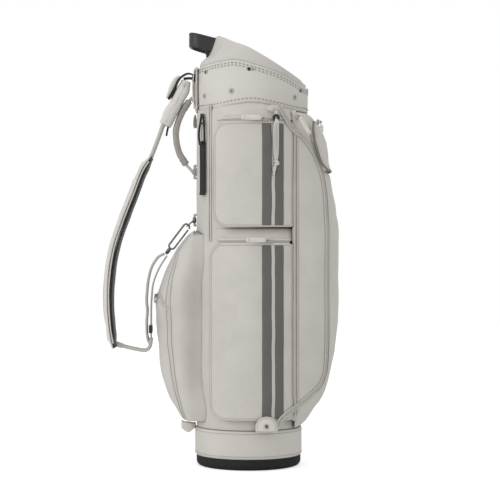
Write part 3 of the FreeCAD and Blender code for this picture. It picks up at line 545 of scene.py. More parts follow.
def make_base():
    dress("base_cup", RUBBER)
    dress("floor_pad", RUBBER)
    dress("inner_tube", INNER)
    dress("stays", STEEL)
    low, high = CUFF_LOW[2], CUFF_HIGH[2]
    radius = CUFF_HIGH[0]

    def cuff(a):
        steps = [(radius - 6, low + 1), (radius - 1.5, low), (radius + 0.1, low + 2.5)]
        for k in np.linspace(0.08, 0.92, 9):
            z = low + (high - low) * k
            steps.append((radius + 0.5 * math.sin(math.pi * k) + 0.35 * wobble(around(0, 90, a, z), 34), z))
        steps += [(radius + 0.1, high - 2), (radius - 1.2, high + 0.3), (radius - 4, high)]
        steps.append((radius - 6, high - 2))
        return [around(0, r, a, z) for r, z in steps]
    make("cuff_wrap", *ring_loft(cuff), LEATHER, "bag", ["base_cuff"], "leather_pale")
    rows = [stitches(*circle_path(0, radius + 0.25, z)) for z in (low + 5.5, high - 5.5)]
    make("cuff_stitches", *merge(*rows), THREAD, "bag", slot="leather_pale")
    seam = [around(0, radius + 0.3, math.radians(178), z) for z in np.linspace(low + 1, high - 1, 20)]
    make("cuff_seam", *cable(seam, 0.9), PIPING, "bag", slot="leather_pale")

    top, foot = BODY_TOP, BODY_LOW[2]

    def tube(a):
        steps = [(BODY_R - 5, foot + 2), (BODY_R - 2, foot - 0.5), (BODY_R - 0.3, foot + 2)]
        for k in np.linspace(0.01, 0.99, 60):
            z = foot + (top - foot) * k
            spot = around(0, 100, a, z)
            r = BODY_R + 0.7 * wobble(spot, 60) + 0.35 * wobble(spot, 22, 3)
            steps.append((r, z))
        loop = [around(0, r, a, z) for r, z in steps]
        for r, z in ((-0.4, top), (-1.8, top + 6), (-2.2, top + 14), (-6, top + 14), (-8, top)):
            inside = around(COLLAR_X, COLLAR_R + r, a, z)
            outside = around(0, BODY_R + min(r, 0) * 0.6, a, z)
            loop.append(inside if math.hypot(inside[0], inside[1]) < BODY_R else outside)
        return loop
    make("body_fabric", *ring_loft(tube, 200), CANVAS, "bag", ["body_shell"], "canvas")

    pipes = []
    for sign in (-1, 1):
        angle = math.radians(180 - sign * 45.5)
        for shift, radius in ((0.0, 1.5), (0.055, 0.9)):
            path = [around(0, BODY_R + 0.6 + 0.5 * wobble((0, 0, z), 60), angle + sign * shift, z)
                    for z in np.linspace(463, top + 4, 90)]
            pipes.append(cable(path, radius))
    make("spine_piping", *merge(*pipes), PIPING, "bag", slot="canvas")


# ---------------------------------------------------------------- collar, rim, club divider

# Side views, (x, z), of the collar's top seam, the mouth's lip and the collar's lower edge.
SEAM_LINE = spline([(-104, 822), (-84, 823), (-58, 826), (-28, 828), (4, 820.5), (30, 813), (53, 806),
                    (80, 794), (106, 781.5), (123, 776.5)], 200)
LIP_LINE = spline([(-62, 886), (-30, 867), (-3, 855.5), (25, 839.5), (53, 823), (76, 809.5), (95, 799),
                   (106, 793), (113, 787)], 200)
HEM_LINE = spline([(-104, 735), (-69, 734), (-27, 740), (6, 743.3), (38, 739.5), (67, 734), (95, 729.5),
                   (123, 729)], 200)


def seam_height(angle):
    return np.interp(COLLAR_X + COLLAR_R * math.cos(angle), SEAM_LINE[:, 0], SEAM_LINE[:, 1])


def hem_height(angle):
    """Height of the collar's lower edge."""
    return np.interp(COLLAR_X + COLLAR_R * math.cos(angle), HEM_LINE[:, 0], HEM_LINE[:, 1])


def lip_height(x):
    return np.interp(x, LIP_LINE[:, 0], LIP_LINE[:, 1])


def make_collar():
    dress("collar_ring", INNER)

    def collar(a):
        low, high = hem_height(a), seam_height(a)
        steps = [(-4, low + 3), (-2.2, low + 0.4), (-0.4, low - 0.4), (0.5, low + 1.2)]
        for k in np.linspace(0.06, 0.95, 14):
            z = low + (high - low) * k
            spot = around(COLLAR_X, 100, a, z)
            crown = 0.3 + 0.9 * math.sin(math.pi * k)
            steps.append((crown + 0.5 * wobble(spot, 40) + 0.2 * wobble(spot, 12), z))
        steps += [(0.1, high - 1.6), (-1.0, high - 0.2), (-2.4, high - 0.3), (-4, high - 3)]
        return [around(COLLAR_X, COLLAR_R + r, a, z) for r, z in steps]
    make("collar_leather", *ring_loft(collar, 220), LEATHER, "bag", ["collar_cover"], "leather_pale")

    def row(height, drop):
        path, lift = circle_path(COLLAR_X, COLLAR_R + 0.85, lambda t: height(t) + drop, 400)
        return stitches(path, lift, length=3.6, gap=4.6, radius=0.62)
    rows = [row(seam_height, -6.0), row(seam_height, -11.0), row(hem_height, 6.5)]
    # the collar's stitches carry painted shade in their darkened thread
    make("collar_stitches", *merge(*rows), THREAD_COLLAR_SHADE, "bag", slot="leather_pale")
    hem = circle_path(COLLAR_X, COLLAR_R - 1.2, lambda t: hem_height(t) - 0.4)[0]
    make("collar_hem", *cable(hem[:-1], 1.3, closed=True), PIPING, "bag", slot="leather_pale")
    front = COLLAR_X + COLLAR_R
    make("collar_front_tab", *block((front - 0.4, 0, 774.5), (2.2, 9, 5.2), bevel=0.5), WEBBING, "bag",
         slot="webbing_pale")


def make_rim():
    back_way = [(0, 0), (0.02, 0.13), (0.15, 0.22), (0.44, 0.33), (0.58, 0.42), (0.78, 0.68), (1, 1)]
    side_way = [(0, 0), (0.01, 0.10), (0.06, 0.28), (0.16, 0.47), (0.34, 0.68), (0.62, 0.87), (1, 1)]
    front_way = [(0, 0), (0.10, 0.10), (0.30, 0.22), (0.55, 0.38), (0.72, 0.55), (0.86, 0.77), (1, 1)]
    back_way, side_way, front_way = (spline(way, 13) for way in (back_way, side_way, front_way))
    mouth_low, mouth_high = corners("divider_grid")
    mouth_x = (mouth_low[0] + mouth_high[0]) / 2
    mouth_a = (mouth_high[0] - mouth_low[0]) / 2
    mouth_b = mouth_a * 93 / 76

    def oval_point(a, half_x, half_y, z=None, x=mouth_x):
        p = np.array([x + half_x * math.cos(a), half_y * math.sin(a), 0.0])
        p[2] = lip_height(p[0]) if z is None else z
        return p

    def rim(a):
        base = around(COLLAR_X, COLLAR_R - 1.6, a, seam_height(a) + 0.2)
        lip = oval_point(a, mouth_a + 9.5, mouth_b + 5.5, x=mouth_x - 1.5)
        lip[2] -= 3.0
        back = ease((-math.cos(a) - 0.62) / 0.25)
        front = ease((math.cos(a) - 0.3) / 0.6)
        way = side_way * (1 - back - front) + back_way * back + front_way * front
        loop = [around(COLLAR_X, COLLAR_R - 5.5, a, 745), around(COLLAR_X, COLLAR_R - 5.5, a, base[2] - 6),
                around(COLLAR_X, COLLAR_R - 3.4, a, base[2] - 2)]
        for f, g in way:
            p = base + (lip - base) * f
            p[2] = base[2] + (lip[2] - base[2]) * g
            p += around(0, 0.5 * wobble(p, 45), a, 0)
            loop.append(p)
        for grow, drop in ((7.5, 0.7), (4.5, 0.0), (1.8, 1.2), (0.3, 4.0), (0, 9), (0, 16), (0, 30)):
            p = oval_point(a, mouth_a + grow, mouth_b + grow * 0.6)
            p[2] -= drop
            loop.append(p)
        loop.append(oval_point(a, mouth_a, mouth_b, 746))
        return loop
    make("rim_padding", *ring_loft(rim, 240), RIM, "bag", ["top_rim"], "rim_pad")

    lip_seam = [oval_point(a, mouth_a + 1.0, mouth_b + 0.7) - np.array([0, 0, 5.5])
                for a in np.linspace(0, 2 * math.pi, 160, endpoint=False)]
    make("rim_inner_piping", *cable(lip_seam, 1.3, closed=True), PIPING, "bag", slot="rim_pad")
    return mouth_x, mouth_a, mouth_b


def make_divider(mouth):
    mouth_x, mouth_a, mouth_b = mouth
    dress("divider_sheets", LINING)
    half, deep, drop = 4.6, 17.0, 33.0
    section = oval(half, deep, power=3.0, count=24)

    def bar(start, end):
        path = []
        for t in np.linspace(0, 1, 40):
            p = np.array(start) * (1 - t) + np.array(end) * t
            path.append([p[0], p[1], lip_height(p[0]) - drop])
        across = np.cross(np.array([end[0] - start[0], end[1] - start[1], 0.0]), UP)
        return sweep(path, section, side=across, round_end=2.0)
    bars = [bar((mouth_x - mouth_a + 1, 0), (mouth_x + mouth_a - 1, 0))]
    for x in (2.0, 53.0):
        reach = mouth_b * math.sqrt(1 - ((x - mouth_x) / mouth_a) ** 2) - 1
        bars.append(bar((x, -reach), (x, reach)))
    make("divider_pads", *merge(*bars), LINING, "bag", ["divider_grid"], "divider_cloth")


def make_collar_fittings():
    snaps, dots, rings, holes = [], [], [], []
    for side in (-1, 1):
        for x, z in ((-90, 760), (-34.5, 765), (93.5, 755)):
            dx = x - COLLAR_X
            y = side * math.sqrt((COLLAR_R + 0.9) ** 2 - dx ** 2)
            out = (dx, y, 0)
            snaps.append(disc((x, y, z), 5.4, 1.6, out, rim=0.25, hollow=0.55))
            snaps.append(disc((x, y, z), 3.4, 0.9, out, rim=0.2))
            dots.append(disc((x, y, z), 1.7, 2.0, out, rim=0.5))
        for x, z in ((-86, 808), (4.5, 808), (107, 770)):
            dx = x - COLLAR_X
            y = side * math.sqrt((COLLAR_R + 0.5) ** 2 - dx ** 2)
            out = np.array((dx, y, 0.0)) / (COLLAR_R + 0.5)
            across = np.cross(out, UP)
            centre = np.array((x, y, z))
            rings.append(disc(centre + across * 3.4 * side, 3.5, 1.5, out, rim=0.35, hollow=0.35))
            holes.append(disc(centre - across * 3.4 * side, 3.7, 0.9, out, rim=0.5))
    make("hood_snaps", *merge(*snaps), PAINTED, "bag", ["hood_studs"], "steel")
    make("hood_snap_dots", *merge(*dots), STEEL, "bag", slot="steel")
    make("rim_rings", *merge(*rings), PAINTED, "bag", ["rim_eyelets"], "steel")
    make("rim_slots", *merge(*holes), PLASTIC_DARK, "bag", slot="steel")


def make_top_handle():
    half, reach, corner = 31.5, 120.0, 22.0
    flat = [(-63.5, half), (-80, half), (-reach + corner, half)]
    for a in np.linspace(math.pi / 2, math.pi, 12)[1:]:
        flat.append((-reach + corner + corner * math.cos(a), half - corner + corner * math.sin(a)))
    flat += [(x, -y) for x, y in flat[::-1]]
    flat = spline(flat, 120)

    def top(x):
        return 880.3 - (x + 62.7) * 0.2586

    def bottom(x):
        return 852.3 - (x + 76) * 0.3 if x < -76 else 852.3 + (x + 76) * (880 - 852.3) / 13.3

    def spot(i, h, depth):
        """Point of the band: h runs from -1 at its lower edge to 1, depth out of its middle."""
        step = flat[min(i + 1, len(flat) - 1)] - flat[max(i - 1, 0)]
        normal = np.array([step[1], -step[0]]) / np.linalg.norm(step)
        x, y = flat[i] + normal * depth
        high, low = top(flat[i][0]), bottom(flat[i][0])
        return np.array([x, y, (high + low) / 2 + h * max(high - low, 2.0) / 2])
    section = oval(1.0, 3.0, power=5.0, count=32)
    loops = []
    for i in range(len(flat)):
        loops.append([spot(i, h, t * (1 + 0.10 * (1 - h * h))) for h, t in section])
    make("handle_band", *loft(loops), LEATHER_DARK, "bag", ["top_handle"], "leather_black")
    rows = []
    for h in (-0.80, 0.80):
        for side in (-1, 1):
            line = [spot(i, h, side * 3.1) for i in range(4, len(flat) - 4)]
            lift = [spot(i, h, side * 4) - spot(i, h, side * 3) for i in range(4, len(flat) - 4)]
            rows.append(stitches(line, lift, radius=0.4))
    make("handle_stitches", *merge(*rows), THREAD_DARK, "bag", slot="leather_black")
    brackets = []
    for side in (-1, 1):
        brackets.append(block((-84, side * 23, 849), (2.4, 6, 7.5), bevel=0.4))
        brackets.append(block((-86, side * 28, 853), (3.0, 3.6, 5.5), bevel=0.4))
    make("handle_brackets", *merge(*brackets), PLASTIC_DARK, "bag", slot="leather_black")


# ---------------------------------------------------------------- side pockets

POCKET_CORNER = 30.0
EDGE = 6.5  # rounding along a pocket's edge
ZIP_RISE = 4.7  # from a side pocket's top edge to the middle of its zip
GUSSET_RISE = 7.6  # and to the outer edge of the gusset


class SidePocket:
    """Padded pocket on a side of the bag. x runs along the bag's side, z up; lift is out of its face."""

    def __init__(self, level, sign):
        self.name = level if sign < 0 else f"far_{level}"
        self.sign = sign
        low, high = corners(f"{self.name}_pocket")
        self.left, self.right, self.low, self.high = low[0], high[0], low[2], high[2]
        self.seed = {"upper": 1.0, "lower": 7.0}[level] + (sign > 0) * 3

    def inset(self, x, z):
        """Distance in from the outline, whose left corners are round."""
        right, top, bottom = self.right - x, self.high - z, z - self.low
        left = x - self.left
        r = POCKET_CORNER
        nearest = min(left, right, top, bottom)
        if left < r and min(top, bottom) < r:
            nearest = min(nearest, r - math.hypot(r - left, r - min(top, bottom)))
        return max(nearest, 0.0)

    def start(self, z):
        """Left end of the row at height z, on the round corners."""
        d = min(self.high - z, z - self.low)
        r = POCKET_CORNER
        return self.left + (r - math.sqrt(max(r * r - (r - d) ** 2, 0)) if d < r else 0.0)

    def relief(self, x, z):
        d = self.inset(x, z)
        rounding = EDGE - math.sqrt(max(EDGE ** 2 - (EDGE - d) ** 2, 0.0)) if d < EDGE else 0.0
        puff = 2.6 * ease(d / 46) - 1.4
        spot = (x, z * 0.7, self.seed * 40)
        soft = ease(d / 30)
        folds = 0.9 * wobble(spot, 55, self.seed) + 0.35 * wobble(spot, 19, self.seed)
        pinch = 0.5 * wobble((x * 0.6, z * 2.2, 0), 16, self.seed) * (1 - ease(abs(d - 7) / 16))
        return puff - rounding + folds * soft + pinch * 0.6

    def point(self, x, z, lift=0.0, relief=None):
        r = SIDE_R + (self.relief(x, z) if relief is None else relief) + lift
        turn = math.asin((x - SIDE_X) / SIDE_R)
        return np.array([SIDE_X + r * math.sin(turn), self.sign * r * math.cos(turn), z])

    def outline(self, inset=0.0, count=360):
        """Closed loop of (x, z) at a distance in from the edge."""
        l, h, b, r = self.left + inset, self.high - inset, self.low + inset, self.right - inset
        c = POCKET_CORNER - inset
        s = 7.0
        pts = []
        for x, z, radius, first in ((l + c, h - c, c, 90), (l + c, b + c, c, 180),
                                    (r - s, b + s, s, 270), (r - s, h - s, s, 0)):
            for a in np.radians(np.linspace(first, first + 90, 13)):
                pts.append((x + radius * math.cos(a), z + radius * math.sin(a)))
        pts = np.array(pts + pts[:1])
        run = np.r_[0, np.cumsum(np.linalg.norm(np.diff(pts, axis=0), axis=1))]
        at = np.linspace(0, run[-1], count, endpoint=False)
        return np.stack([np.interp(at, run, pts[:, k]) for k in (0, 1)], 1)

    def base(self, x, z):
        """Where the pocket meets the body."""
        p = self.point(x, z, relief=0)
        r = BODY_R + 0.6
        y = math.sqrt(max(r * r - p[0] ** 2, 0.0))
        return np.array([p[0], self.sign * y, z])

    def make(self):
        steps = [0, 0.7, 1.8, 3.4, 5.4, 8, 12]
        span = self.high - self.low
        heights = steps + list(np.linspace(18, span - 18, int(span / 6))) + [span - s for s in steps[::-1]]
        rows = []
        for h in heights:
            z = self.low + h
            start = self.start(z)
            wide = self.right - start
            along = steps + list(np.linspace(18, wide - 18, 22)) + [wide - s for s in steps[::-1]]
            rows.append([(start + a, z) for a in along])
        m, n = len(rows[0]), len(rows)
        verts = [self.point(x, z) for row in rows for x, z in row]
        faces = [(i * m + j, i * m + j + 1, (i + 1) * m + j + 1, (i + 1) * m + j)
                 for i in range(n - 1) for j in range(m - 1)]
        edge = [j for j in range(m)] + [i * m + m - 1 for i in range(1, n)]
        edge += [(n - 1) * m + j for j in range(m - 2, -1, -1)] + [i * m for i in range(n - 2, 0, -1)]
        flat = [rows[k // m][k % m] for k in edge]
        loops = [edge]
        for fraction in (0.35, 0.7, 1.0):
            ids = []
            for k, (x, z) in zip(edge, flat):
                ids.append(len(verts))
                verts.append(np.array(verts[k]) * (1 - fraction) + self.base(x, z) * fraction)
            loops.append(ids)
        for a, b in zip(loops, loops[1:]):
            for i in range(len(edge)):
                j = (i + 1) % len(edge)
                faces.append((a[i], b[i], b[j], a[j]))
        middle = len(verts)
        centre = self.base((self.left + self.right) / 2, (self.low + self.high) / 2)
        verts.append(centre * np.array([1, 0.96, 1]))
        last = loops[-1]
        for i in range(len(edge)):
            faces.append((last[i], middle, last[(i + 1) % len(edge)]))
        make(f"{self.name}_pocket_bag", verts, faces, CANVAS, "bag", [f"{self.name}_pocket"], "canvas")
        pipe = [self.point(x, z, lift=0.5) for x, z in self.outline(1.2)]
        make(f"{self.name}_pocket_piping", *cable(pipe, 2.0, closed=True), PIPING, "bag", slot="canvas")

    def gusset(self, top):
        """Sloping cloth from the body, at the height top, out to the pocket's zip."""
        edge = self.high + GUSSET_RISE
        loops = []
        for x in np.linspace(-66, 92.6, 72):
            ends = ease((x + 66) / 26) * (0.92 + 0.08 * ease((92.6 - x) / 12))
            start = self.base(x, top)
            if top > 700:
                turn = -math.acos((x - COLLAR_X) / COLLAR_R)
                start = around(COLLAR_X, COLLAR_R - 2.8, self.sign * -turn, hem_height(turn) + 1.0)
            front = self.point(x, edge, relief=-3.6)
            start[1] = self.sign * max(abs(start[1]), abs(front[1]) - 18)
            front = self.base(front[0], edge) * (1 - ends) + front * ends
            loop = [start * np.array([1, 0.97, 1])]
            for f in np.linspace(0, 1, 12):
                p = start + (front - start) * f
                bulge = (1.6 * ends + 0.5 * wobble(p, 22, self.seed)) * math.sin(math.pi * f)
                p = p + np.array([0, self.sign * bulge, bulge * 0.4])
                loop.append(p)
            loop.append(front + np.array([0, 0, -1.6]))
            inner = self.base(front[0], edge - 1.0)
            loop.append(inner * np.array([1, 0.97, 1]))
            loops.append(loop)
        return loft(loops)

    def strip(self, x0, x1):
        """Woven stripe lying on the pocket's face and turned in at its ends."""
        loops = []
        middle = np.linspace(self.low + 2, self.high - 2, int((self.high - self.low) / 3))
        for z in np.r_[self.low + 0.5, middle, self.high - 0.5]:
            xs = np.linspace(x0, x1, 8)
            top = [self.point(x, z, lift=1.0 - 0.6 * (k in (0, 7))) for k, x in enumerate(xs)]
            under = [self.point(x, z, lift=-1.2) for x in xs[::-1]]
            loops.append(top + under)
        return loft(loops)


def zip_on_arc(sign, z, x0, x1, radius):
    """Zip tape and its teeth, curved round the bag's side."""
    def spot(x, r, z):
        turn = math.asin((x - SIDE_X) / SIDE_R)
        return np.array([SIDE_X + r * math.sin(turn), sign * r * math.cos(turn), z])
    xs = np.linspace(x0, x1, 60)
    tape = sweep([spot(x, radius - 1.0, z) for x in xs], oval(5.2, 1.0, 4, 16), side=(0, 0, 1))
    flaps = [sweep([spot(x, radius + 0.6, z + s * 4.3) for x in xs], oval(2.3, 0.9, 3, 12), side=(0, 0, 1))
             for s in (-1, 1)]
    teeth = []
    count = int((x1 - x0) / 2.4)
    for k in range(count):
        x = x0 + 2 + (x1 - x0 - 4) * k / count
        centre = spot(x, radius + 0.5, z + (0.9 if k % 2 else -0.9))
        out = spot(x, 1, z) - spot(x, 0, z)
        teeth.append(block(centre, (0.8, 1.1, 0.5), [np.cross(UP, out), UP, out]))
    return tape, merge(*flaps), merge(*teeth)


def make_side_pockets():
    strips, tapes, flaps, teeth = [], [], [], []
    for sign in (-1, 1):
        for level in ("upper", "lower"):
            pocket = SidePocket(level, sign)
            pocket.make()
            for x0, x1 in ((27.0, 46.0), (53.0, 71.0)):
                strips.append(pocket.strip(x0, x1))
            tape, flap, tooth = zip_on_arc(sign, pocket.high + ZIP_RISE, -58, 85, SIDE_R - 3.5)
            tapes.append(tape)
            flaps.append(flap)
            teeth.append(tooth)
            flaps.append(pocket.gusset({"upper": 729.0, "lower": 489.0}[level]))
    make("stripe_bands", *merge(*strips), STRIPE, "bag", ["side_stripes"], "stripe_grey")
    make("side_zip_tapes", *merge(*tapes), TAPE, "bag", ["side_zips"], "zip_tape")
    make("side_zip_gussets", *merge(*flaps), CANVAS, "bag", slot="canvas")
    make("side_zip_teeth", *merge(*teeth), PLASTIC_PALE, "bag", slot="zip_tape", smooth=False)


# ---------------------------------------------------------------- garment, front and ball pockets

GARMENT_LOW, GARMENT_HIGH = corners("garment_pocket")
GARMENT_X = 70.0  # axis of the garment pocket's round face
GARMENT_HALF = 101.5
GARMENT_POWER = 2.25
# (z, x) of the pocket's front, and (x, z) of the zip's arc over its sides.
GARMENT_CURVE = spline([(83, 103), (85, 109), (90, 116), (96, 122), (108, 130), (121, 138), (133, 148),
                        (158, 160.5), (208, 174), (270, 181), (333, 185.5), (414, 186.3), (495, 185.6),
                        (520, 182), (570, 175.5), (592, 172), (600, 169.5), (607, 165), (640, 152),
                        (690, 143), (709, 138.5), (719, 132), (724, 124)], 300)
ZIP_ARC = [(60, 733), (69, 722), (87, 692), (109, 674), (131, 648), (147, 611), (156, 565), (160.5, 500),
           (161, 439), (161, 317), (159, 214), (152, 182), (141, 164), (107, 136), (69, 109), (53, 85)]


def garment_reach(z):
    return float(np.interp(z, GARMENT_CURVE[:, 0], GARMENT_CURVE[:, 1]))


def garment_point(turn, z, lift=0.0):
    """Surface of the garment pocket. turn runs from -pi/2 on the near side to pi/2 on the far side."""
    half_x, half_y, power = garment_reach(z) - GARMENT_X, GARMENT_HALF, GARMENT_POWER
    c, s = max(math.cos(turn), 0.0), math.sin(turn)
    x = GARMENT_X + half_x * c ** (2 / power)
    y = half_y * np.sign(s) * abs(s) ** (2 / power)
    low_end = ease((150 - z) / 60)
    y *= 1 - 0.10 * low_end
    out = np.array([c * half_y, s * half_x, 0.0])
    out /= max(np.linalg.norm(out), 1e-6)
    spot = (x * 0.6, y, z * 0.8)
    calm = ease((GARMENT_HIGH[2] - z) / 30) * ease((z - GARMENT_LOW[2]) / 30)
    folds = (1.5 * wobble(spot, 85, 2) + 0.7 * wobble(spot, 33, 4) + 0.3 * wobble(spot, 13, 6)) * calm
    return np.array([x, y, z]) + out * (folds + lift - 0.8)


def turn_at(x, z):
    """The turn at which the garment pocket's surface passes x."""
    share = (x - GARMENT_X) / max(garment_reach(z) - GARMENT_X, 1e-6)
    return math.acos(min(max(share, 0.0), 1.0) ** (GARMENT_POWER / 2))


def bag_face(x, z, sign, lift=0.0):
    """The bag's side: side pocket, then garment pocket."""
    if x < 93:
        r = SIDE_R + lift - 1.0
        turn = math.asin((x - SIDE_X) / SIDE_R)
        return np.array([SIDE_X + r * math.sin(turn), sign * r * math.cos(turn), z])
    return garment_point(sign * turn_at(x, z), z, lift)


def body_arc(x_side, y_side, count, centre=0.0):
    """Inner side of a pocket, along the body, from +y_side to -y_side."""
    radius = BODY_R + 0.7
    end = math.asin(min(y_side / radius, 1.0))
    turns = np.linspace(end, -end, count)
    return [(x_side * radius * math.cos(t), radius * math.sin(t)) for t in turns]


def make_garment_pocket():
    heights = np.r_[83.2, 84.5, 87, 90.5, np.arange(96, 594, 7), 597, 600, 603, 606,
                    np.arange(612, 712, 7), 715, 719, 722, 723.6]
    loops = []
    seam = GARMENT_LOW[0] + 0.3
    for z in heights:
        end = turn_at(seam, z)
        turns = np.linspace(-end, end, 61)
        outer = [garment_point(t, z) for t in turns]
        for k, dip in enumerate((0.016, 0.007)):  # drawn in beside the seam
            outer[k] = outer[k] * np.array([1, 1 - dip, 1])
            outer[-1 - k] = outer[-1 - k] * np.array([1, 1 - dip, 1])
        y_end = min(abs(outer[0][1]) - 2, BODY_R * 0.52)
        inner = [np.array([x, y, z]) for x, y in body_arc(1, y_end, 21)]
        loops.append(outer + inner)
    make("garment_bag", *loft(loops), CANVAS, "bag", ["garment_pocket"], "canvas")

    pipes, tapes, teeth = [], [], []
    arc = spline(ZIP_ARC, 220)
    normal = np.gradient(arc, axis=0)
    normal = np.stack([normal[:, 1], -normal[:, 0]], 1)
    normal /= np.linalg.norm(normal, axis=1)[:, None]
    for sign in (-1, 1):
        def line(shift, lift):
            return [bag_face(x + n[0] * shift, z + n[1] * shift, sign, lift)
                    for (x, z), n in zip(arc, normal) if 84 < z < 731]
        middle = line(0, 0)
        above = line(0, 1)
        out = [np.array(b) - np.array(a) for a, b in zip(middle, above)]
        along = np.gradient(np.array(middle), axis=0)
        across = [np.cross(o, t) for o, t in zip(out, along)]
        tapes.append(sweep(line(0, 0.5), oval(3.4, 0.9, 4, 14), side=across))
        for shift in (-3.7, 3.7):
            pipes.append(cable(line(shift, 0.9), 1.7))
        run = np.r_[0, np.cumsum(np.linalg.norm(np.diff(np.array(middle), axis=0), axis=1))]
        for k, at in enumerate(np.arange(4, run[-1] - 4, 2.6)):
            i = min(int(np.searchsorted(run, at)), len(middle) - 1)
            t = along[i] / np.linalg.norm(along[i])
            o = out[i] / np.linalg.norm(out[i])
            w = np.cross(o, t)
            teeth.append(block(np.array(middle[i]) + o * 1.6 + w * (0.7 if k % 2 else -0.7), (0.9, 1.0, 0.4),
                               [t, w, o]))
        welt = [bag_face(93.6, z, sign, -2.4) for z in np.linspace(100, 727, 120)]
        pipes.append(sweep(welt, oval(4.6, 2.0, 3, 16), side=(1, 0, 0)))
        for x, radius in ((93.2, 1.6), (98.4, 1.1)):
            pipes.append(cable([bag_face(x, z, sign, 0.6) for z in np.linspace(112, 690, 120)], radius))
    make("garment_zip_tapes", *merge(*tapes), TAPE, "bag", slot="zip_tape")
    make("garment_piping", *merge(*pipes), PIPING, "bag", slot="canvas")
    make("garment_zip_teeth", *merge(*teeth), PLASTIC_PALE, "bag", slot="zip_tape", smooth=False)


FRONT_HALF, FRONT_TALL = 75, 109  # size of the front pocket's face, for its rounding
FRONT_FOLD = 606  # below it the pocket hangs clear of the garment pocket


def make_front_pocket():
    low, high = corners("front_pocket")
    tall = high[2] - low[2]
    depths = [(600, 4), (606, 7.5), (630, 12.0), (645, 13.5), (672, 14.5), (695, 10), (706, 5), (709, 2)]
    columns, rows = 62, 34

    def spot(u, v, lift):
        """Point of the garment pocket at u (-1 to 1) across and v (0 to 1) up, and the step out of it."""
        z = low[2] + 0.5 + v * (tall - 1)
        end = math.asin(min((high[1] / GARMENT_HALF) ** (GARMENT_POWER / 2), 0.97))
        turn = u * end * (1 - 0.10 * ease((z - 660) / 60) - 0.26 * ease((690 - z) / 80))
        base = garment_point(turn, max(z, FRONT_FOLD))
        out = garment_point(turn, max(z, FRONT_FOLD), 1) - base
        base[2] = z
        return base, out * lift(base, curve_value(depths, z), dome(u, v))

    def dome(u, v):
        """Height of the rounded face, 0 at its edge to 1."""
        side, top = (1 - abs(u)) * FRONT_HALF, (1 - v) * FRONT_TALL
        d = min(side, v * tall * 8, (1 - v) * tall)
        corner = math.hypot(max(14 - side, 0), max(14 - top, 0))
        d = max(min(d, 14 - corner if corner else d), 0.0)
        return math.sqrt(max(1 - (1 - min(d / 11, 1)) ** 2, 0))
    outer, inner = [], []
    for v in np.linspace(0, 1, rows):
        for u in np.linspace(-1, 1, columns):
            base, rise = spot(u, v, lambda p, deep, d: deep * d + 0.5 * wobble(p, 26, 9) * d)
            outer.append(base + rise)
            inner.append(base - spot(u, v, lambda p, deep, d: 1.5)[1])
    verts = outer + inner
    n = columns * rows
    faces = []
    for j in range(rows - 1):
        for i in range(columns - 1):
            a = j * columns + i
            faces.append((a, a + 1, a + columns + 1, a + columns))
            faces.append((a + n, a + columns + n, a + columns + 1 + n, a + 1 + n))
    edge = list(range(columns)) + [j * columns + columns - 1 for j in range(1, rows)]
    edge += [(rows - 1) * columns + i for i in range(columns - 2, -1, -1)]
    edge += [j * columns for j in range(rows - 2, 0, -1)]
    for a, b in zip(edge, edge[1:] + edge[:1]):
        faces.append((a, a + n, b + n, b))
    make("front_pocket_bag", verts, faces, CANVAS, "bag", ["front_pocket"], "canvas")

    def dome_line(inset, lift):
        points = []
        w, h = 1 - inset / FRONT_HALF, inset / FRONT_TALL
        for t in np.linspace(0, 2 * math.pi, 160, endpoint=False):
            c, s = math.cos(t), math.sin(t)
            u = w * np.sign(c) * abs(c) ** 0.28
            v = 0.5 + (0.5 - h) * np.sign(s) * abs(s) ** 0.28
            base, rise = spot(u, v, lambda p, deep, d: deep * d + lift)
            points.append(base + rise)
        return points
    piping, tape = cable(dome_line(3.5, 0.3), 1.6, closed=True), cable(dome_line(1.2, 0.2), 2.2, closed=True)
    make("front_pocket_piping", *piping, PIPING, "bag", slot="canvas")
    # the zip tape carries painted shade in its darkened colour
    make("front_zip_tape", *tape, TAPE_PAINTED_SHADE, "bag", slot="zip_tape")


# (z, x) of the ball pocket's outer line.
BALL_CURVE = spline([(95.5, -126), (97, -138), (108, -146), (121, -154), (146, -165.5), (171, -174),
                     (196, -180.5), (233, -185), (258, -188.5), (308, -192.5), (338, -194.4), (358, -189),
                     (372, -184), (390, -176.5), (414, -165), (447, -149.5), (462, -134.5), (470, -125),
                     (477.6, -112)], 260)
BALL_SIDE = 69.0
BALL_FLANK = 142.0  # how far behind the axis the pocket's flanks start to draw in
BALL_TUCK = 19.0


def ball_reach(z):
    return float(np.interp(z, BALL_CURVE[:, 0], BALL_CURVE[:, 1]))


def ball_point(turn, z, lift=0.0):
    """Surface of the ball pocket. turn runs from -pi/2 on the near side to pi/2 on the far side."""
    half_x, power = HANG_X - ball_reach(z), 2.35
    half_x = max(half_x, 1.0)
    c, s = max(math.cos(turn), 0.0), math.sin(turn)
    x = HANG_X - half_x * c ** (2 / power)
    side = BALL_SIDE * (1 - 0.16 * ease((z - 400) / 80) - 0.10 * ease((125 - z) / 40))
    y = side * np.sign(s) * abs(s) ** (2 / power)
    out = np.array([-c * side, s * half_x, 0.0])
    out /= max(np.linalg.norm(out), 1e-6)
    spot = (x, y, z * 0.8)
    calm = ease((478 - z) / 30) * ease((z - 95) / 30)
    folds = (1.2 * wobble(spot, 62, 12) + 0.7 * wobble(spot, 25, 14)) * calm
    return np.array([x, y, z]) + out * (folds + lift - 1.2)


def zip_height(turn):
    """The ball pocket's zip is level where its slider runs and drops on both sides."""
    return 352 - 32 * ease((abs(turn) - 0.42) / 0.62)


def ball_arch(p):
    """The pocket's top edge is highest at the spine."""
    rise = (9 - 14 * (p[1] / BALL_SIDE) ** 2) * ease((p[2] - 440) / 36)
    return np.array([p[0], p[1], p[2] + rise])


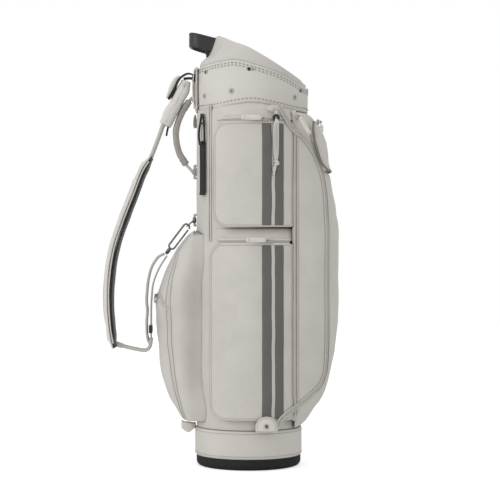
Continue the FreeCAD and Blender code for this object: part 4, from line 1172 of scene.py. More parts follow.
def make_ball_pocket():
    heights = np.r_[95.8, 97, 99.5, 103, np.arange(109, 452, 6.5), 457, 463, 469, 474, 477]
    loops = []
    for z in heights:
        outer = [ball_point(t, z) for t in np.linspace(math.pi / 2, -math.pi / 2, 49)]
        last = outer[-1]
        tuck = BALL_TUCK * ease((z - 104) / 90) * ease((470 - z) / 110)
        wide = abs(last[1])
        end = -math.sqrt(BODY_R ** 2 - (wide - tuck) ** 2) + 1.5
        near = [np.array([last[0] + (end - last[0]) * k, -wide, z]) for k in np.linspace(0.1, 1, 9)]
        far = [p * np.array([1, -1, 1]) for p in near[::-1]]
        for p in far + outer + near:
            share = ease((p[0] + BALL_FLANK) / (end + BALL_FLANK)) * min(abs(p[1]) / 60, 1)
            p[1] -= np.sign(p[1]) * tuck * share
        inner = [np.array([-x, y, z]) for x, y in body_arc(1, wide - tuck - 1.5, 19)][::-1]
        loops.append(far + outer + near + inner)
    verts, faces = loft(loops)
    verts = [ball_arch(p) for p in verts]
    make("ball_bag", verts, faces, CANVAS, "bag", ["ball_pocket"], "canvas")

    pipes, tapes, teeth = [], [], []
    for sign in (-1, 1):
        for shift, radius in ((0.0, 1.7), (0.14, 1.1)):
            line = []
            for z in np.linspace(99, 470, 110):
                bend = 0.98 - shift - 0.30 * ease((z - 330) / 130)
                line.append(ball_arch(ball_point(sign * bend, z, 0.5)))
            pipes.append(cable(line, radius))
    level = [(t, zip_height(t)) for t in np.linspace(-1, 1, 90)]
    tape_line = [ball_point(a, z, 0.3) for a, z in level]
    tapes.append(sweep(tape_line, oval(2.6, 0.8, 4, 14), side=(0, 0, 1)))
    for shift in (-3.2, 3.2):
        pipes.append(cable([ball_point(a, z + shift, 0.5) for a, z in level], 1.2))
    for k, a in enumerate(np.linspace(-0.98, 0.98, 62)):
        z = zip_height(a)
        centre = ball_point(a, z, 1.4)
        o = ball_point(a, z, 2) - ball_point(a, z, 1)
        centre[2] += 0.6 if k % 2 else -0.6
        teeth.append(block(centre, (0.8, 0.9, 0.4), [np.cross(UP, o), UP, o]))
    make("ball_piping", *merge(*pipes), PIPING, "bag", slot="canvas")
    make("ball_zip_tape", *merge(*tapes), TAPE, "bag", slot="zip_tape")
    make("ball_zip_teeth", *merge(*teeth), PLASTIC_PALE, "bag", slot="zip_tape", smooth=False)


# ---------------------------------------------------------------- shoulder strap

PAD_LINE = [(-203, 637), (-221, 607), (-240, 557), (-259, 507), (-275.5, 458), (-285.5, 408), (-290.5, 345),
            (-287, 283), (-280, 243)]


def make_strap():
    top_low, top_high = corners("strap_top_loop")
    loop = disc((HANG_X, 0, top_low[2] + 0.2), 5.0, top_high[2] - top_low[2] - 0.4, UP, rim=0.2, hollow=0.5)
    tongue = strap([(HANG_X - 4, 801.5), (-124, 802), (-134.5, 801.0)], 19, 4.2, 20, round_end=1)
    upper_line = side_line([(-114.5, 808.5), (-120, 811), (-127, 811.5), (-134, 808.5), (-141, 803.5),
                            (-147.5, 794), (-153.5, 778), (-160, 765), (-167, 758.5)], 60)
    upper = sweep(upper_line, oval(12.8, 1.2, 5, 24), side=(0, 1, 0),
                  scale=lambda t: (0.7 + 0.3 * ease(t / 0.3),
                                   1 + 0.35 * ease((t - 0.35) / 0.15)))
    make("strap_top_webbing", *merge(loop, tongue, upper), WEBBING_DARK, "shoulder_strap", ["strap_top_loop"],
         "webbing_black")

    cover_line = side_line([(-130.5, 795), (-135, 780), (-144, 762), (-153.4, 745), (-162, 729),
                            (-169.5, 714), (-173.5, 705.5)], 60)
    cover_line = cover_line + [[0.9 * wobble(p, 20, 3), 0, 0.5 * wobble(p, 18, 7)] for p in cover_line]

    def cover_size(t):
        swell = 1 + 0.03 * math.sin(t * 11) - 0.26 * ease((0.22 - t) / 0.22)
        return swell - 0.08 * ease((t - 0.93) / 0.07), swell
    tube = sweep(cover_line, oval(14.2, 13.4, 2.8, 36), side=(0, 1, 0), scale=cover_size, round_end=2.0)
    flap_line = side_line([(-144, 804.5), (-151.5, 798), (-159, 783.5), (-164.5, 771), (-168.5, 762)], 40)
    flap = sweep(flap_line, oval(14.2, 6.0, 2.6, 28), side=(0, 1, 0),
                 scale=lambda t: (1 - 0.22 * ease((t - 0.8) / 0.2),
                                  0.62 + 0.38 * math.sin(math.pi * min(t * 1.15, 1.0))), round_end=2.0)
    make("strap_cover_tube", *merge(tube, flap), CANVAS_STRAP, "shoulder_strap", ["strap_cover"], "canvas")
    seams = []
    for side in (-1, 1):
        seams.append(cable([p + np.array([0, side * 13.6, 0]) for p in cover_line[3:-3]], 0.9))
        seams.append(cable([p + np.array([0, side * 13.9, 0]) for p in flap_line[2:-4]], 0.8))
    make("strap_cover_seams", *merge(*seams), PIPING, "shoulder_strap", slot="canvas")

    band = strap([(-176.5, 709), (-183, 690), (-189.4, 672), (-195.8, 655), (-202, 639)], 25, 8.5, 50,
                 power=3.0, round_end=1)
    make("strap_upper_band", *band, WEBBING, "shoulder_strap", ["strap_upper_webbing"], "webbing_pale")
    keeper = strap([(-165.5, 706), (-168.5, 695), (-170.8, 683)], 20, 3.4, 16, power=4, round_end=1)
    make("strap_upper_keeper", *keeper, WEBBING_DARK, "shoulder_strap", slot="webbing_black")

    pad = side_line(PAD_LINE, 120)
    half = 19.8 / 2  # half the pad's thickness

    def section(wide, low, high, crown):
        """Outline of a layer, low to high across the pad, with a hollow of the crown's depth."""
        points = []
        for x, y in oval(1, 1, 2.8, 40):
            t = (low + high) / 2 + y * (high - low) / 2
            if y < 0:
                t -= crown * (1 - abs(x) ** 2.2)
            points.append((x * wide / 2, t))
        return points

    def taper(t):
        end = min(t, 1 - t)
        return 1 - 0.16 * (1 - ease(end / 0.05)), 1 - 0.50 * (1 - ease(end / 0.07))
    face = sweep(pad, section(62, 2.0 - half, 13.0 - half, 2.0), side=(0, 1, 0), scale=taper, round_end=3)
    mesh = sweep(pad, section(58, half - 6.8, half, 0.0), side=(0, 1, 0), scale=taper, round_end=2)

    def puff(piece, size, depth, seed):
        verts, faces = piece
        way = [np.array([wobble(v, size, seed), 0, 0.5 * wobble(v, size, seed + 9)]) for v in verts]
        return [np.array(v) + w * depth for v, w in zip(verts, way)], faces
    make("pad_face", *puff(face, 34, 0.8, 2), CANVAS_STRAP, "shoulder_strap", ["shoulder_pad"], "canvas")
    make("pad_mesh", *puff(mesh, 30, 0.5, 5), MESH_DARK, "shoulder_strap", ["shoulder_pad_mesh"],
         "mesh_black")
    pipes, rows = [], []
    tangent = np.gradient(pad, axis=0)
    tangent /= np.linalg.norm(tangent, axis=1)[:, None]
    inward = np.stack([-tangent[:, 2], np.zeros(len(pad)), tangent[:, 0]], 1)
    for side in (-1, 1):
        edge = [p + i * 3.0 + np.array([0, side * 30.4, 0]) for p, i in zip(pad[3:-3], inward[3:-3])]
        pipes.append(cable(edge, 1.7))
        line = [p - i * 7.3 + np.array([0, side * 24, 0]) for p, i in zip(pad[4:-4], inward[4:-4])]
        rows.append(stitches(line, -inward[4:-4], 2.8, 1.8, 0.4))
    make("pad_piping", *merge(*pipes), PIPING, "shoulder_strap", slot="canvas")
    make("pad_stitches", *merge(*rows), THREAD, "shoulder_strap", slot="canvas")

    run = -202.5
    bottom = strap([(-275, 252), (-262, 246), (-240, 240.5), (-220, 237), (-210, 238.5), (-204.5, 247),
                    (run, 262)], 25, 7.5, 80, power=4)
    inner = strap([(run, 258), (run, 285), (run, 320), (-201.2, 350), (-198, 376), (-187, 405),
                   (-170, 433)], 25, 3.0, 120)
    outer = strap([(-204.5, 250), (-209, 258), (-211.4, 275), (-211.6, 292), (-210.5, 318), (-211.8, 350),
                   (-205, 398), (-191, 427), (-176, 437.3)], 25, 5.0, 120, wave=0.6)
    make("strap_lower_bands", *merge(bottom, inner, outer), WEBBING, "shoulder_strap",
         ["strap_lower_webbing"], "webbing_pale")
    keeper = strap([(-272, 249), (-263, 246)], 28, 10, 10, power=4, round_end=1)
    make("strap_lower_keeper", *keeper, WEBBING, "shoulder_strap", slot="webbing_pale")

    low, high = corners("strap_adjuster")
    x, half_z = (low[0] + high[0]) / 2 - 0.3, (high[2] - low[2]) / 2
    middle = (low[2] + high[2]) / 2
    frame_path = [np.array([x, p[0], middle + p[1]]) for p in oval(14.0, half_z - 1.6, 6, 60)]
    frame_bars = [sweep(frame_path, oval(3.2, 1.5, 4, 14), side=(1, 0, 0), closed=True)]
    frame_bars.append(block((x - 2.6, 0, middle), (1.0, 13.5, 1.5)))
    frame_bars.append(block((x + 2.9, 0, middle), (0.7, 13.5, 1.3)))
    make("adjuster_frame", *merge(*frame_bars), PLASTIC_DARK, "strap_adjuster", ["strap_adjuster"],
         "plastic_black")


def make_hook():
    middle, lean = np.array([-144.2, 0, 473]), math.radians(37.2)

    def place(x, z, y=0.0):
        c, s = math.cos(lean), math.sin(lean)
        return middle + np.array([x * c + z * s, y, -x * s + z * c])
    half, reach, wire = 6.4, 24.5, 2.0
    path = [place(half, 25.0)]
    path += [place(half * math.cos(a), reach + half * math.sin(a)) for a in np.linspace(0.05, math.pi, 16)]
    path += [place(-half, z) for z in np.linspace(20, -20, 12)]
    path += [place(half * math.cos(a), -reach + half * math.sin(a))
             for a in np.linspace(math.pi, 2 * math.pi, 16)]
    path += [place(half, z) for z in (-20, -16, -12.8)]
    wire_piece = cable(path, wire, count=14)
    axis = place(0, 1) - place(0, 0)
    collar = disc(place(0, -reach - half - wire - 9.0), 4.1, 9.5, axis, rim=0.3)
    bead = disc(place(0, -reach - half - wire - 2.5), 3.0, 4.5, axis, rim=0.3)
    end = -reach - half - wire - 9.8
    eye_path = [place(0, end) + axis * p[1] + np.array([0, 1, 0]) * p[0] for p in oval(13.0, 1.4, 3, 40)]
    eye = sweep(eye_path, oval(1.6, 3.0, 3, 12), side=axis, closed=True)
    make("snap_hook_wire", *merge(wire_piece, collar, bead, eye), STEEL, "shoulder_strap", ["snap_hook"],
         "steel")
    gate = sweep([place(half, z) for z in np.linspace(-9.2, 21.4, 14)], oval(1.85, 1.85, 2.6, 14),
                 side=(0, 1, 0), round_end=0.8)
    pin = disc(place(half, -9.6, 2.0), 1.9, 4.0, (0, -1, 0), rim=0.2)
    make("hook_gate_bar", *merge(gate, pin), STEEL, "hook_gate", ["hook_gate"], "steel")

    sleeve = disc((HANG_X, 0, 501.2), 4.0, 11.6, UP, rim=0.25, hollow=0.63)
    wire_ring = ring((-122.25, 0, 499.4), 8.2, 1.15, (0.671, 0, -0.742), 36)
    make("spine_ring_loop", *merge(sleeve, wire_ring), STEEL, "shoulder_strap", ["spine_ring"], "steel")


def make_carry_handle():
    line = side_line([(-123.5, 754), (-132.5, 741), (-143, 720), (-150.5, 695), (-150, 671), (-144.5, 648),
                      (-137, 634), (-130, 623)], 90)

    def size(t):
        swell = 1 + 0.02 * math.sin(t * 31) + 0.015 * math.sin(t * 17)
        return swell, swell
    grip = sweep(line, oval(7.0, 6.6, 2.2, 28), side=(0, 1, 0), scale=size, round_end=1.5)
    make("grip_tube", *grip, GRIP, "carry_handle", ["carry_grip"], "grip_cloth")
    seam = [p + np.array([0.0, -7.1, 0.0]) for p in line[4:-4]]
    bands = [sweep(line[a:b], oval(7.6, 7.2, 2.2, 28), side=(0, 1, 0), round_end=0.8)
             for a, b in ((5, 13), (80, 90))]
    make("grip_bands", *merge(*bands), GRIP_BAND, "carry_handle", slot="grip_cloth")
    rows = [stitches(seam, [(0, -1, 0)] * len(seam), 2.6, 1.8, 0.35)]
    for a in (6, 11, 82, 87):
        centre, tangent = line[a], line[a + 1] - line[a]
        tangent = tangent / np.linalg.norm(tangent)
        u = np.array([0, 1.0, 0])
        v = np.cross(tangent, u)
        loop = [centre + 7.7 * (math.cos(t) * u + math.sin(t) * v) for t in np.linspace(0, 2 * math.pi, 40)]
        rows.append(stitches(loop, [p - centre for p in loop], 2.2, 1.4, 0.35))
    make("grip_stitches", *merge(*rows), THREAD, "carry_handle", slot="grip_cloth")
    upper = disc((HANG_X, 0, 753.2), 5.0, 12.6, UP, rim=0.2, hollow=0.5)
    lower = disc((HANG_X, 0, 601.2), 4.0, 11.6, UP, rim=0.2, hollow=0.63)
    upper_strap = strap([(-114.8, 761), (-119, 759.5), (-124, 754)], 10, 6.4, 20, power=3)
    lower_strap = strap([(-114.8, 605), (-119, 610.5), (-125, 617), (-131, 624)], 10, 6.0, 24, power=3)
    make("grip_webbing", *merge(upper, lower, upper_strap, lower_strap), WEBBING, "carry_handle",
         ["carry_webbing"], "webbing_pale")


def make_spine_fittings():
    def bar(low, high, back, block_half):
        pin = cable([(HANG_X, 0, z) for z in (low, high)], 2.35)
        ends = [block(((HANG_X + back) / 2, 0, z), ((back - HANG_X) / 2, 2.9, block_half), bevel=0.5)
                for z in (low, high)]
        return [pin] + ends
    low, high = corners("strap_anchor_loop")
    anchor = bar(low[2] + 3, high[2] - 3, high[0], 2.9)
    make("anchor_loop_bar", *merge(*anchor), WEBBING, "bag", ["strap_anchor_loop"], "webbing_pale")
    legs = [cable([(-107, -15, 819.5), (-107, 15, 819.5)], 3.6, count=16)]
    for y in (-14.2, 14.2):
        leg = spline([(-107, y, 823), (-111, y, 820), (-113.4, y, 810), (-115.8, y, 784), (-114.8, y, 757),
                      (-111.5, y, 740), (-108.5, y, 733.5)], 50)
        legs.append(sweep(leg, oval(1.7, 1.1, 4, 14), side=(0, 1, 0), round_end=0.5))
        leg = spline([(-107, y, 821), (-108, y, 800), (-108.4, y, 765), (-107.6, y, 736)], 40)
        legs.append(sweep(leg, oval(1.7, 1.7, 4, 14), side=(0, 1, 0), round_end=0.5))
    legs.append(strap([(-105.2, 819), (-104.9, 780), (-104.9, 736)], 30, 1.8, 30))
    legs.append(block((-107.5, 0, 733), (2.6, 15.5, 2.4), bevel=0.5))
    make("anchor_loop_legs", *merge(*legs), LEATHER, "bag", slot="webbing_pale")
    back = -BODY_R - 0.2
    tabs = bar(594, 620, back, 2.4) + bar(496, 518, back, 2.4)
    make("spine_tab_bars", *merge(*tabs), WEBBING, "bag", ["spine_tabs"], "webbing_pale")
    leaf = [(-2.8, 700), (2.8, 700), (4.2, 706), (3.2, 716), (0.6, 728), (-2.6, 722), (-4.0, 710)]
    leaf = spline(leaf, 40, closed=True)
    faces = [[np.array([-111.5 + p[0] * k, 11.5 + t, 711 + (p[1] - 711) * k]) for p in leaf]
             for t, k in ((-1.0, 0.86), (-0.7, 1.0), (0.7, 1.0), (1.0, 0.86))]
    # the leaf's colour is real tan plus painted shade
    make("spine_leaf", *loft(faces), LEATHER_TAN_SHADED, "bag", slot="leather_pale")
    patch = block((-BODY_R - 0.6, 0, 607), (0.9, 9, 9), bevel=0.4)
    make("spine_patches", *patch, WEBBING, "bag", slot="webbing_pale")


# ---------------------------------------------------------------- zip sliders and pulls

def make_tube_pull(pull, start, along, outward, length, radius, eye_spot):
    """Fabric tube on a short cord, riding on the body pull. Its ends are bound with leather."""
    along = np.array(along, float) / np.linalg.norm(along)
    outward = np.array(outward, float)
    across = np.cross(outward, along)
    path = [np.array(start) + along * t for t in np.linspace(0, length, 14)]

    def size(t):
        end = min(t, 1 - t)
        k = 0.90 + 0.10 * ease(end / 0.12) + 0.02 * math.sin(t * 20)
        return k, k
    body = sweep(path, oval(radius * 0.98, radius * 0.92, 2.3, 22), side=across, scale=size, round_end=1.2)
    rim = oval(radius + 0.35, radius * 0.97, 2.3, 22)
    bands = [sweep([np.array(start) + along * t for t in span], rim, side=across, round_end=0.4)
             for span in ((2.0, 4.0), (length - 4.0, length - 2.0))]
    cord_path = spline([np.array(eye_spot) + along * 1.6, np.array(eye_spot) * 0.5 + np.array(start) * 0.5,
                        np.array(start) + along * 2], 14)
    cords = [cable([p + across * s * (1 - k / 16) for k, p in enumerate(cord_path)], 0.8)
             for s in (-1.0, 1.0)]
    eyelet = ring(eye_spot, 2.1, 0.75, UP if abs(along[2]) < 0.5 else across, 20)
    make(f"{pull}_tube", *body, PULL_CLOTH, pull, [pull], "canvas")
    make(f"{pull}_bands", *merge(*bands), LEATHER, pull, slot="leather_pale")
    make(f"{pull}_cord", *merge(*cords), CORD, pull, slot="cord_pale")
    make(f"{pull}_eye", *eyelet, STEEL, pull, slot="steel")


def slider_block(centre, along, across, out, length):
    """Zip slider: two shields with a bridge over them."""
    base = block(np.array(centre) + out * 1.1, (length / 2, 3.0, 0.9), [along, across, out], 0.5)
    top = block(np.array(centre) + out * 2.9, (length / 2 - 0.6, 2.4, 0.5), [along, across, out], 0.5)
    middle = block(np.array(centre) + out * 2.0, (length / 2 - 2, 1.4, 1.0), [along, across, out], 0.3)
    return merge(base, top, middle)


def make_side_pulls():
    for level in ("upper", "lower"):
        for sign in (-1, 1):
            name = level if sign < 0 else f"far_{level}"
            z = corners(f"{name}_pocket")[1][2] + 4.5
            slider_x = {"upper": 34.0, "lower": 43.0}[level]
            face, wall, length = 127.3, 3.5, 11.0

            def spot(x, r, at):
                turn = math.asin((x - SIDE_X) / r)
                return np.array([SIDE_X + r * math.sin(turn), sign * r * math.cos(turn), at])
            centre = spot(slider_x, face, z)
            out = np.array([centre[0] - SIDE_X, centre[1], 0])
            out /= np.linalg.norm(out)
            along = np.array([out[1], -out[0], 0]) * -sign
            across = np.array([0, 0, 1.0])
            slider = slider_block(centre, along, across, out, length)
            pin_x = slider_x - length / 2
            pin_r = face + wall + 3.2
            pin_spot = spot(pin_x, pin_r, z)
            pin_out = np.array([pin_spot[0] - SIDE_X, pin_spot[1], 0]) / pin_r
            pin_out /= np.linalg.norm(pin_out)
            post = cable([spot(pin_x, face + 1.5, z), pin_spot - pin_out * 0.5], 1.5)
            pin = cable([pin_spot + np.array([0, 0, -2.8]), pin_spot + np.array([0, 0, 2.8])], 1.15)
            body = f"{name}_slider"
            make(f"{body}_body", *merge(slider, post, pin), PAINTED, body, [body], "steel")
            back = np.array([pin_out[1], -pin_out[0], 0]) * -sign
            start = pin_spot + back * 4 + pin_out * 2.0 + np.array([0, 0, 3.4])
            eye = pin_spot + np.array([0, 0, 2.3])
            make_tube_pull(f"{name}_pull", start, back, pin_out, 38, 5.2, eye)


def make_straight_pulls():
    for name, spot, along, outward, length, hang, lift in (
            ("garment", (97, -102.2, 712), (0.50, 0.17, -0.83), (0.28, -1, 0), 38, 3.0, 3.6),
            ("front", (139.8, -83.6, 704), (0, 0, -1), (0.545, -0.838, 0), 12, 8.0, 1.8)):
        spot, along, out = np.array(spot), np.array(along) / np.linalg.norm(along), np.array(outward)
        out = out - along * out.dot(along)
        out /= np.linalg.norm(out)
        across = np.cross(out, along)
        slider = slider_block(spot, along, across, out, 11)
        level = 6.7
        post = cable([spot + out * 1.5, spot + out * (level - 0.4)], 1.35)
        pin = cable([spot + out * level + across * s for s in (-3.8, 3.8)], 1.15)
        body = f"{name}_slider"
        make(f"{body}_body", *merge(slider, post, pin), PAINTED, body, [body], "steel")
        eye = spot + out * level + across * 3.05
        start = eye + along * hang + out * lift
        make_tube_pull(f"{name}_pull", start, along, out, length, 4.2, eye)


def make_ball_pull():
    wedge, z = math.radians(198.0), 352.0
    out, along = facing(wedge)
    spot = around(HANG_X, 81.7, wedge, z)
    body = slider_block(spot, along, np.array(UP), out * 0.6, 8)
    pin = cable([spot + out * 0.8, spot + out * 3.4], 1.15)
    make("ball_slider_body", *merge(body, pin), CHROME, "ball_slider", ["ball_slider"], "chrome")
    eye = ring(spot + out * 2.8, 2.1, 0.7, out, 20)
    loop = ring(spot + out * 2.9 + np.array([0, 0, -9]), 6.2, 0.9, out, 36)
    make("ball_ring_loop", *merge(eye, loop), CHROME, "ball_ring", ["ball_ring"], "chrome")


# ---------------------------------------------------------------- hanging fittings

def make_towel_fittings():
    out, side = facing(math.radians(213))

    def at(extra, z, along=0.0):
        return out * (113 + extra) + side * along + np.array([0, 0, z])
    posts = [cable([at(-4.6, 720, s * 4), at(0.5, 720, s * 4)], 1.25) for s in (-1, 1)]
    cross = cable([at(0, 720, -4.6), at(0, 720, 4.6)], 1.25)
    make("towel_ring_pin", *merge(*posts, cross), STEEL, "bag", ["towel_ring"], "steel")
    patch = block(at(-4.9, 722), (1.0, 7.5, 6.0), [out, side, UP], 0.4)
    make("towel_patch", *patch, LEATHER, "bag", slot="leather_pale")

    frame_line = spline([(-3.4, 716.4), (-6.5, 706), (-10.5, 694), (-12.8, 681), (-11.0, 668), (-7.5, 662.4),
                         (0, 662.3), (7.5, 662.4), (9.2, 666), (8.8, 690), (7.0, 704), (3.4, 716.4)],
                        90, closed=True)
    path = [at(0, z, s) for s, z in frame_line]
    clip = sweep(path, oval(2.2, 1.5, 3.5, 14), side=out, closed=True)
    eye = disc(at(0, 720, -2), 3.5, 4.0, side, rim=0.2, hollow=0.42)
    bar = block(at(0, 703, 0), (2.2, 6.2, 1.4), [out, side, UP], 0.4)
    make("towel_clip_frame", *merge(clip, eye, bar), PLASTIC_DARK, "towel_clip", ["towel_clip"],
         "plastic_black")

    loop = disc(at(0, 662.5, -6), 4.7, 12, side, rim=0.15, hollow=0.68)
    steps = np.linspace(561.5, 660, 50)
    band_path = [at(0.8 * wobble((0, 0, z), 30, 3), z, 1.0 + 0.5 * wobble((3, 0, z), 40, 1)) for z in steps]
    band = sweep(band_path, oval(8.6, 1.5, 5, 20), side=side)
    tip = sweep([at(0, 562.5), at(0, 557.5)], oval(8.9, 2.0, 4, 20), side=side, round_end=0.6)
    make("towel_band", *merge(loop, band, tip), WEBBING_DARK, "towel_strap", ["towel_strap"], "webbing_black")


def make_cord():
    out, side = facing(math.radians(-69.5))

    def at(extra, z, along=0.0):
        return np.array([SIDE_X, 0, 0]) + out * (134.5 + extra) + side * along + np.array([0, 0, z])
    crescent = []
    for p in oval(1, 1, 2, 40):
        crescent.append((p[0] * 13.0 - 3.5, 730 + p[1] * (5.5 if p[1] > 0 else 8.5)))
    slabs = [[at(e, 730 + (z - 730) * k, x * k) for x, z in crescent]
             for e, k in ((-8.2, 0.9), (-7.8, 1), (-4.6, 1), (-4.1, 0.9))]
    stud = disc(at(-6, 726), 1.3, 8.8, out, rim=0.3)
    make("cord_tab_patch", *merge(loft(slabs), stud), LEATHER, "bag", ["cord_tab"], "leather_pale")
    eye = disc(at(-1.2, 726), 3.3, 2.3, out, rim=0.2, hollow=0.45)
    hanger = sweep([at(0, 726 - z) for z in (2.5, 6, 10)], oval(3.4, 0.9, 4, 14), side=side, round_end=0.5)
    loop = ring(at(0.4, 709.0), 5.1, 2.5, out, 40)
    make("cord_o_ring", *loop, PLASTIC_DARK, "tee_cord", ["cord_ring"], "plastic_black")
    make("cord_hanger", *merge(eye, hanger), LEATHER, "tee_cord", slot="cord_pale")
    cords = []
    for s in (-4.5, -1.5, 1.5, 4.5):
        line = [at(1.6, 706.0, s * 0.4), at(3.6, 703.0, s * 0.5), at(3.0, 699, s * 0.8), at(0.4, 688, s),
                at(0.2, 670, s * 1.02), at(0.2, 645, s * 0.92), at(0.3, 632, s * 0.7), at(0.3, 624, s * 0.35)]
        cords.append(cable(spline(line, 60), 1.5))
    tail = cable(spline([at(0, 617), at(0.3, 608, -2), at(0, 600, -4.0), at(0, 596, -4.5)], 24), 2.0)
    tail_end = cable(spline([at(0, 617), at(0.3, 611, -4), at(0, 604, -6.5)], 24), 1.5)
    make("cord_lines", *merge(*cords, tail, tail_end), CORD, "tee_cord", ["tee_cord"], "cord_pale")
    knots = [ring(at(0.4, 621, 0.8), 3.2, 2.3, (0.25, 0.1, 1), 24),
             ring(at(0.4, 616.5, 1.2), 3.4, 2.3, (-0.3, 0.2, 1), 24),
             disc(at(0.3, 624.5, 0.6), 3.4, 11.5, (0, 0, -1), rim=0.6)]
    make("cord_knot", *merge(*knots), CORD, "tee_cord", slot="cord_pale")


def make_base_fittings():
    lean = math.radians(16)
    up = np.array([0, math.sin(lean), math.cos(lean)])
    out = np.array([0, -math.cos(lean), math.sin(lean)])
    root = np.array([36.0, -142.5, 82.5])
    outer, hole = [], []
    for t in np.linspace(0, 2 * math.pi, 72, endpoint=False):
        c, s = math.cos(t), math.sin(t)
        if s >= 0:
            outer.append((22 * c, 9.5 + 22 * s))
        else:
            outer.append((22 * np.sign(c) * abs(c) ** 0.25, 9.5 + 9.5 * -abs(s) ** 0.25))
        hole.append((4.4 * c, 11 + 4.4 * s))

    def level(line, lift, shrink=1.0):
        centre = np.mean(np.array(line), 0)
        spots = []
        for p in line:
            q = centre + (np.array(p) - centre) * shrink
            bulge = 2.6 * (1 - min(math.hypot(q[0] / 22, (q[1] - 12) / 20), 1) ** 2)
            spots.append(root + np.array([q[0], 0, 0]) + up * q[1] + out * (lift + bulge))
        return spots
    loops = [level(hole, -1.4), level(outer, -1.4, 0.97), level(outer, -0.6), level(outer, 0.8),
             level(outer, 1.5, 0.97), level(hole, 1.5, 1.5), level(hole, 1.3)]
    face = loft(loops, closed=True)
    leg = []
    for x in np.linspace(14.6, 57.4, 16):
        reach = -math.sqrt((BODY_R + 0.6) ** 2 - x * x)
        leg.append([(x, y, z) for y, z in ((-142.6, 81.4), (-143.6, 82.6), (-143.4, 84), (-141.5, 85),
                                           (reach, 84.8), (reach, 81.4))])
    make("umbrella_tab", *merge(face, loft(leg)), LEATHER, "bag", ["umbrella_holder"], "leather_pale")
    rim = [root + np.array([4.9 * math.cos(t), 0, 0]) + up * (11 + 4.9 * math.sin(t)) + out * 4.1
           for t in np.linspace(0, 2 * math.pi, 40, endpoint=False)]
    make("umbrella_eyelet", *cable(rim, 0.9, closed=True), LEATHER, "bag", slot="leather_pale")
    edge = level([(q[0] * 0.87, 1.2 + (q[1] - 1.2) * 0.9) for q in outer], 1.6)
    thread = stitches(edge + edge[:1], [out] * (len(edge) + 1), 2.4, 1.5, 0.3)
    make("umbrella_stitches", *thread, THREAD, "bag", slot="leather_pale")

    low, high = corners("lift_loop_tab")
    posts = [block(((low[0] + high[0]) / 2, s * 14.7, 81), ((high[0] - low[0]) / 2, 1.3, 4.9), bevel=0.5)
             for s in (-1, 1)]
    pin = cable([(-114, -15, 81), (-114, 15, 81)], 1.55)
    make("lift_loop_posts", *merge(*posts, pin), WEBBING, "bag", ["lift_loop_tab"], "webbing_pale")
    sleeve = disc((-114, -12.9, 81), 3.3, 25.8, (0, 1, 0), rim=0.15, hollow=0.55)
    turn = np.linspace(-1, 1, 50)
    path = [(-110 - 29 * (1 - abs(t) ** 2.6), 13.0 * t * (1 - 0.25 * t * t) / 0.75) for t in turn]
    loops = []
    for p in path:
        reach = (-110 - p[0]) / 29
        half = 2.6 + 7.5 * math.sin(math.pi * min(reach * 1.25, 1) * 0.72)
        middle = 81 - 4.5 * math.sin(math.pi * reach * 0.8) + 5.5 * reach ** 3
        way = np.array([-1.0, 0, 0]) * reach + np.array([0, np.sign(p[1]), 0]) * (1 - reach)
        way /= np.linalg.norm(way)
        loops.append([np.array([p[0], p[1], middle]) + way * q[1] + np.array([0, 0, q[0] * half])
                      for q in oval(1.0, 1.0, 4, 18)])
    make("lift_loop_band", *merge(sleeve, loft(loops)), LEATHER, "lift_loop", ["lift_loop"], "webbing_black")


# ---------------------------------------------------------------- build

make_base()
make_collar()
make_divider(make_rim())
make_collar_fittings()
make_top_handle()
make_side_pockets()
make_garment_pocket()
make_front_pocket()
make_ball_pocket()
make_strap()
make_hook()
make_carry_handle()
make_spine_fittings()
make_side_pulls()
make_straight_pulls()
make_ball_pull()
make_towel_fittings()
make_cord()
make_base_fittings()


# ---------------------------------------------------------------- fabric

REACH = 15.0  # how far from the net a sheet still takes part
SLIP = 0.12  # share of the movement along the surface that is kept
SWELL_OFF = 0.8  # share of the mean swelling that is taken off again
CLOTH_PRESSURE = 4.0
CLOTH_FULLNESS = 0.03
CLOTH_FRAMES = 20


def points_of(mesh):
    flat = np.empty(len(mesh.vertices) * 3)
    mesh.vertices.foreach_get("co", flat)
    return flat.reshape(-1, 3) / MM


def even_copy(name, voxel):
    """Closed copy of a piece with an even net, fit for the cloth solver."""
    copy = bpy.data.objects.new("net_" + name, bpy.data.objects[name].data.copy())
    bpy.context.scene.collection.objects.link(copy)
    remesh = copy.modifiers.new("remesh", "REMESH")
    remesh.mode = "VOXEL"
    remesh.voxel_size = voxel * MM
    bpy.context.view_layer.update()
    even = bpy.data.meshes.new_from_object(copy.evaluated_get(bpy.context.evaluated_depsgraph_get()))
    copy.modifiers.clear()
    copy.data = even
    return copy


def add_cloth(copy, loose, pressure, fullness):
    """Cloth under pressure; points that lie on something else are held."""
    held = copy.vertex_groups.new(name="held")
    for i, amount in enumerate(loose):
        if amount < 0.99:
            held.add([i], float(1 - amount), "REPLACE")
    settings = copy.modifiers.new("fabric", "CLOTH").settings
    settings.vertex_group_mass = "held"
    settings.pin_stiffness = 2.0
    settings.quality = 4
    settings.mass = 0.02
    settings.tension_stiffness = settings.compression_stiffness = 14
    settings.shear_stiffness = 6
    settings.bending_stiffness = 0.4
    settings.use_pressure = True
    settings.uniform_pressure_force = pressure
    settings.shrink_min = -fullness
    settings.effector_weights.gravity = 0


def soften(mesh, moves, rounds=8):
    """Spread each point's movement over its neighbours, so that folds stay wider than the net."""
    ends = np.empty(len(mesh.edges) * 2, int)
    mesh.edges.foreach_get("vertices", ends)
    a, b = ends.reshape(-1, 2).T
    count = np.bincount(ends, minlength=len(moves))[:, None]
    for _ in range(rounds):
        around_it = np.zeros_like(moves)
        np.add.at(around_it, a, moves[b])
        np.add.at(around_it, b, moves[a])
        moves = 0.4 * moves + 0.6 * around_it / np.maximum(count, 1)
    return moves


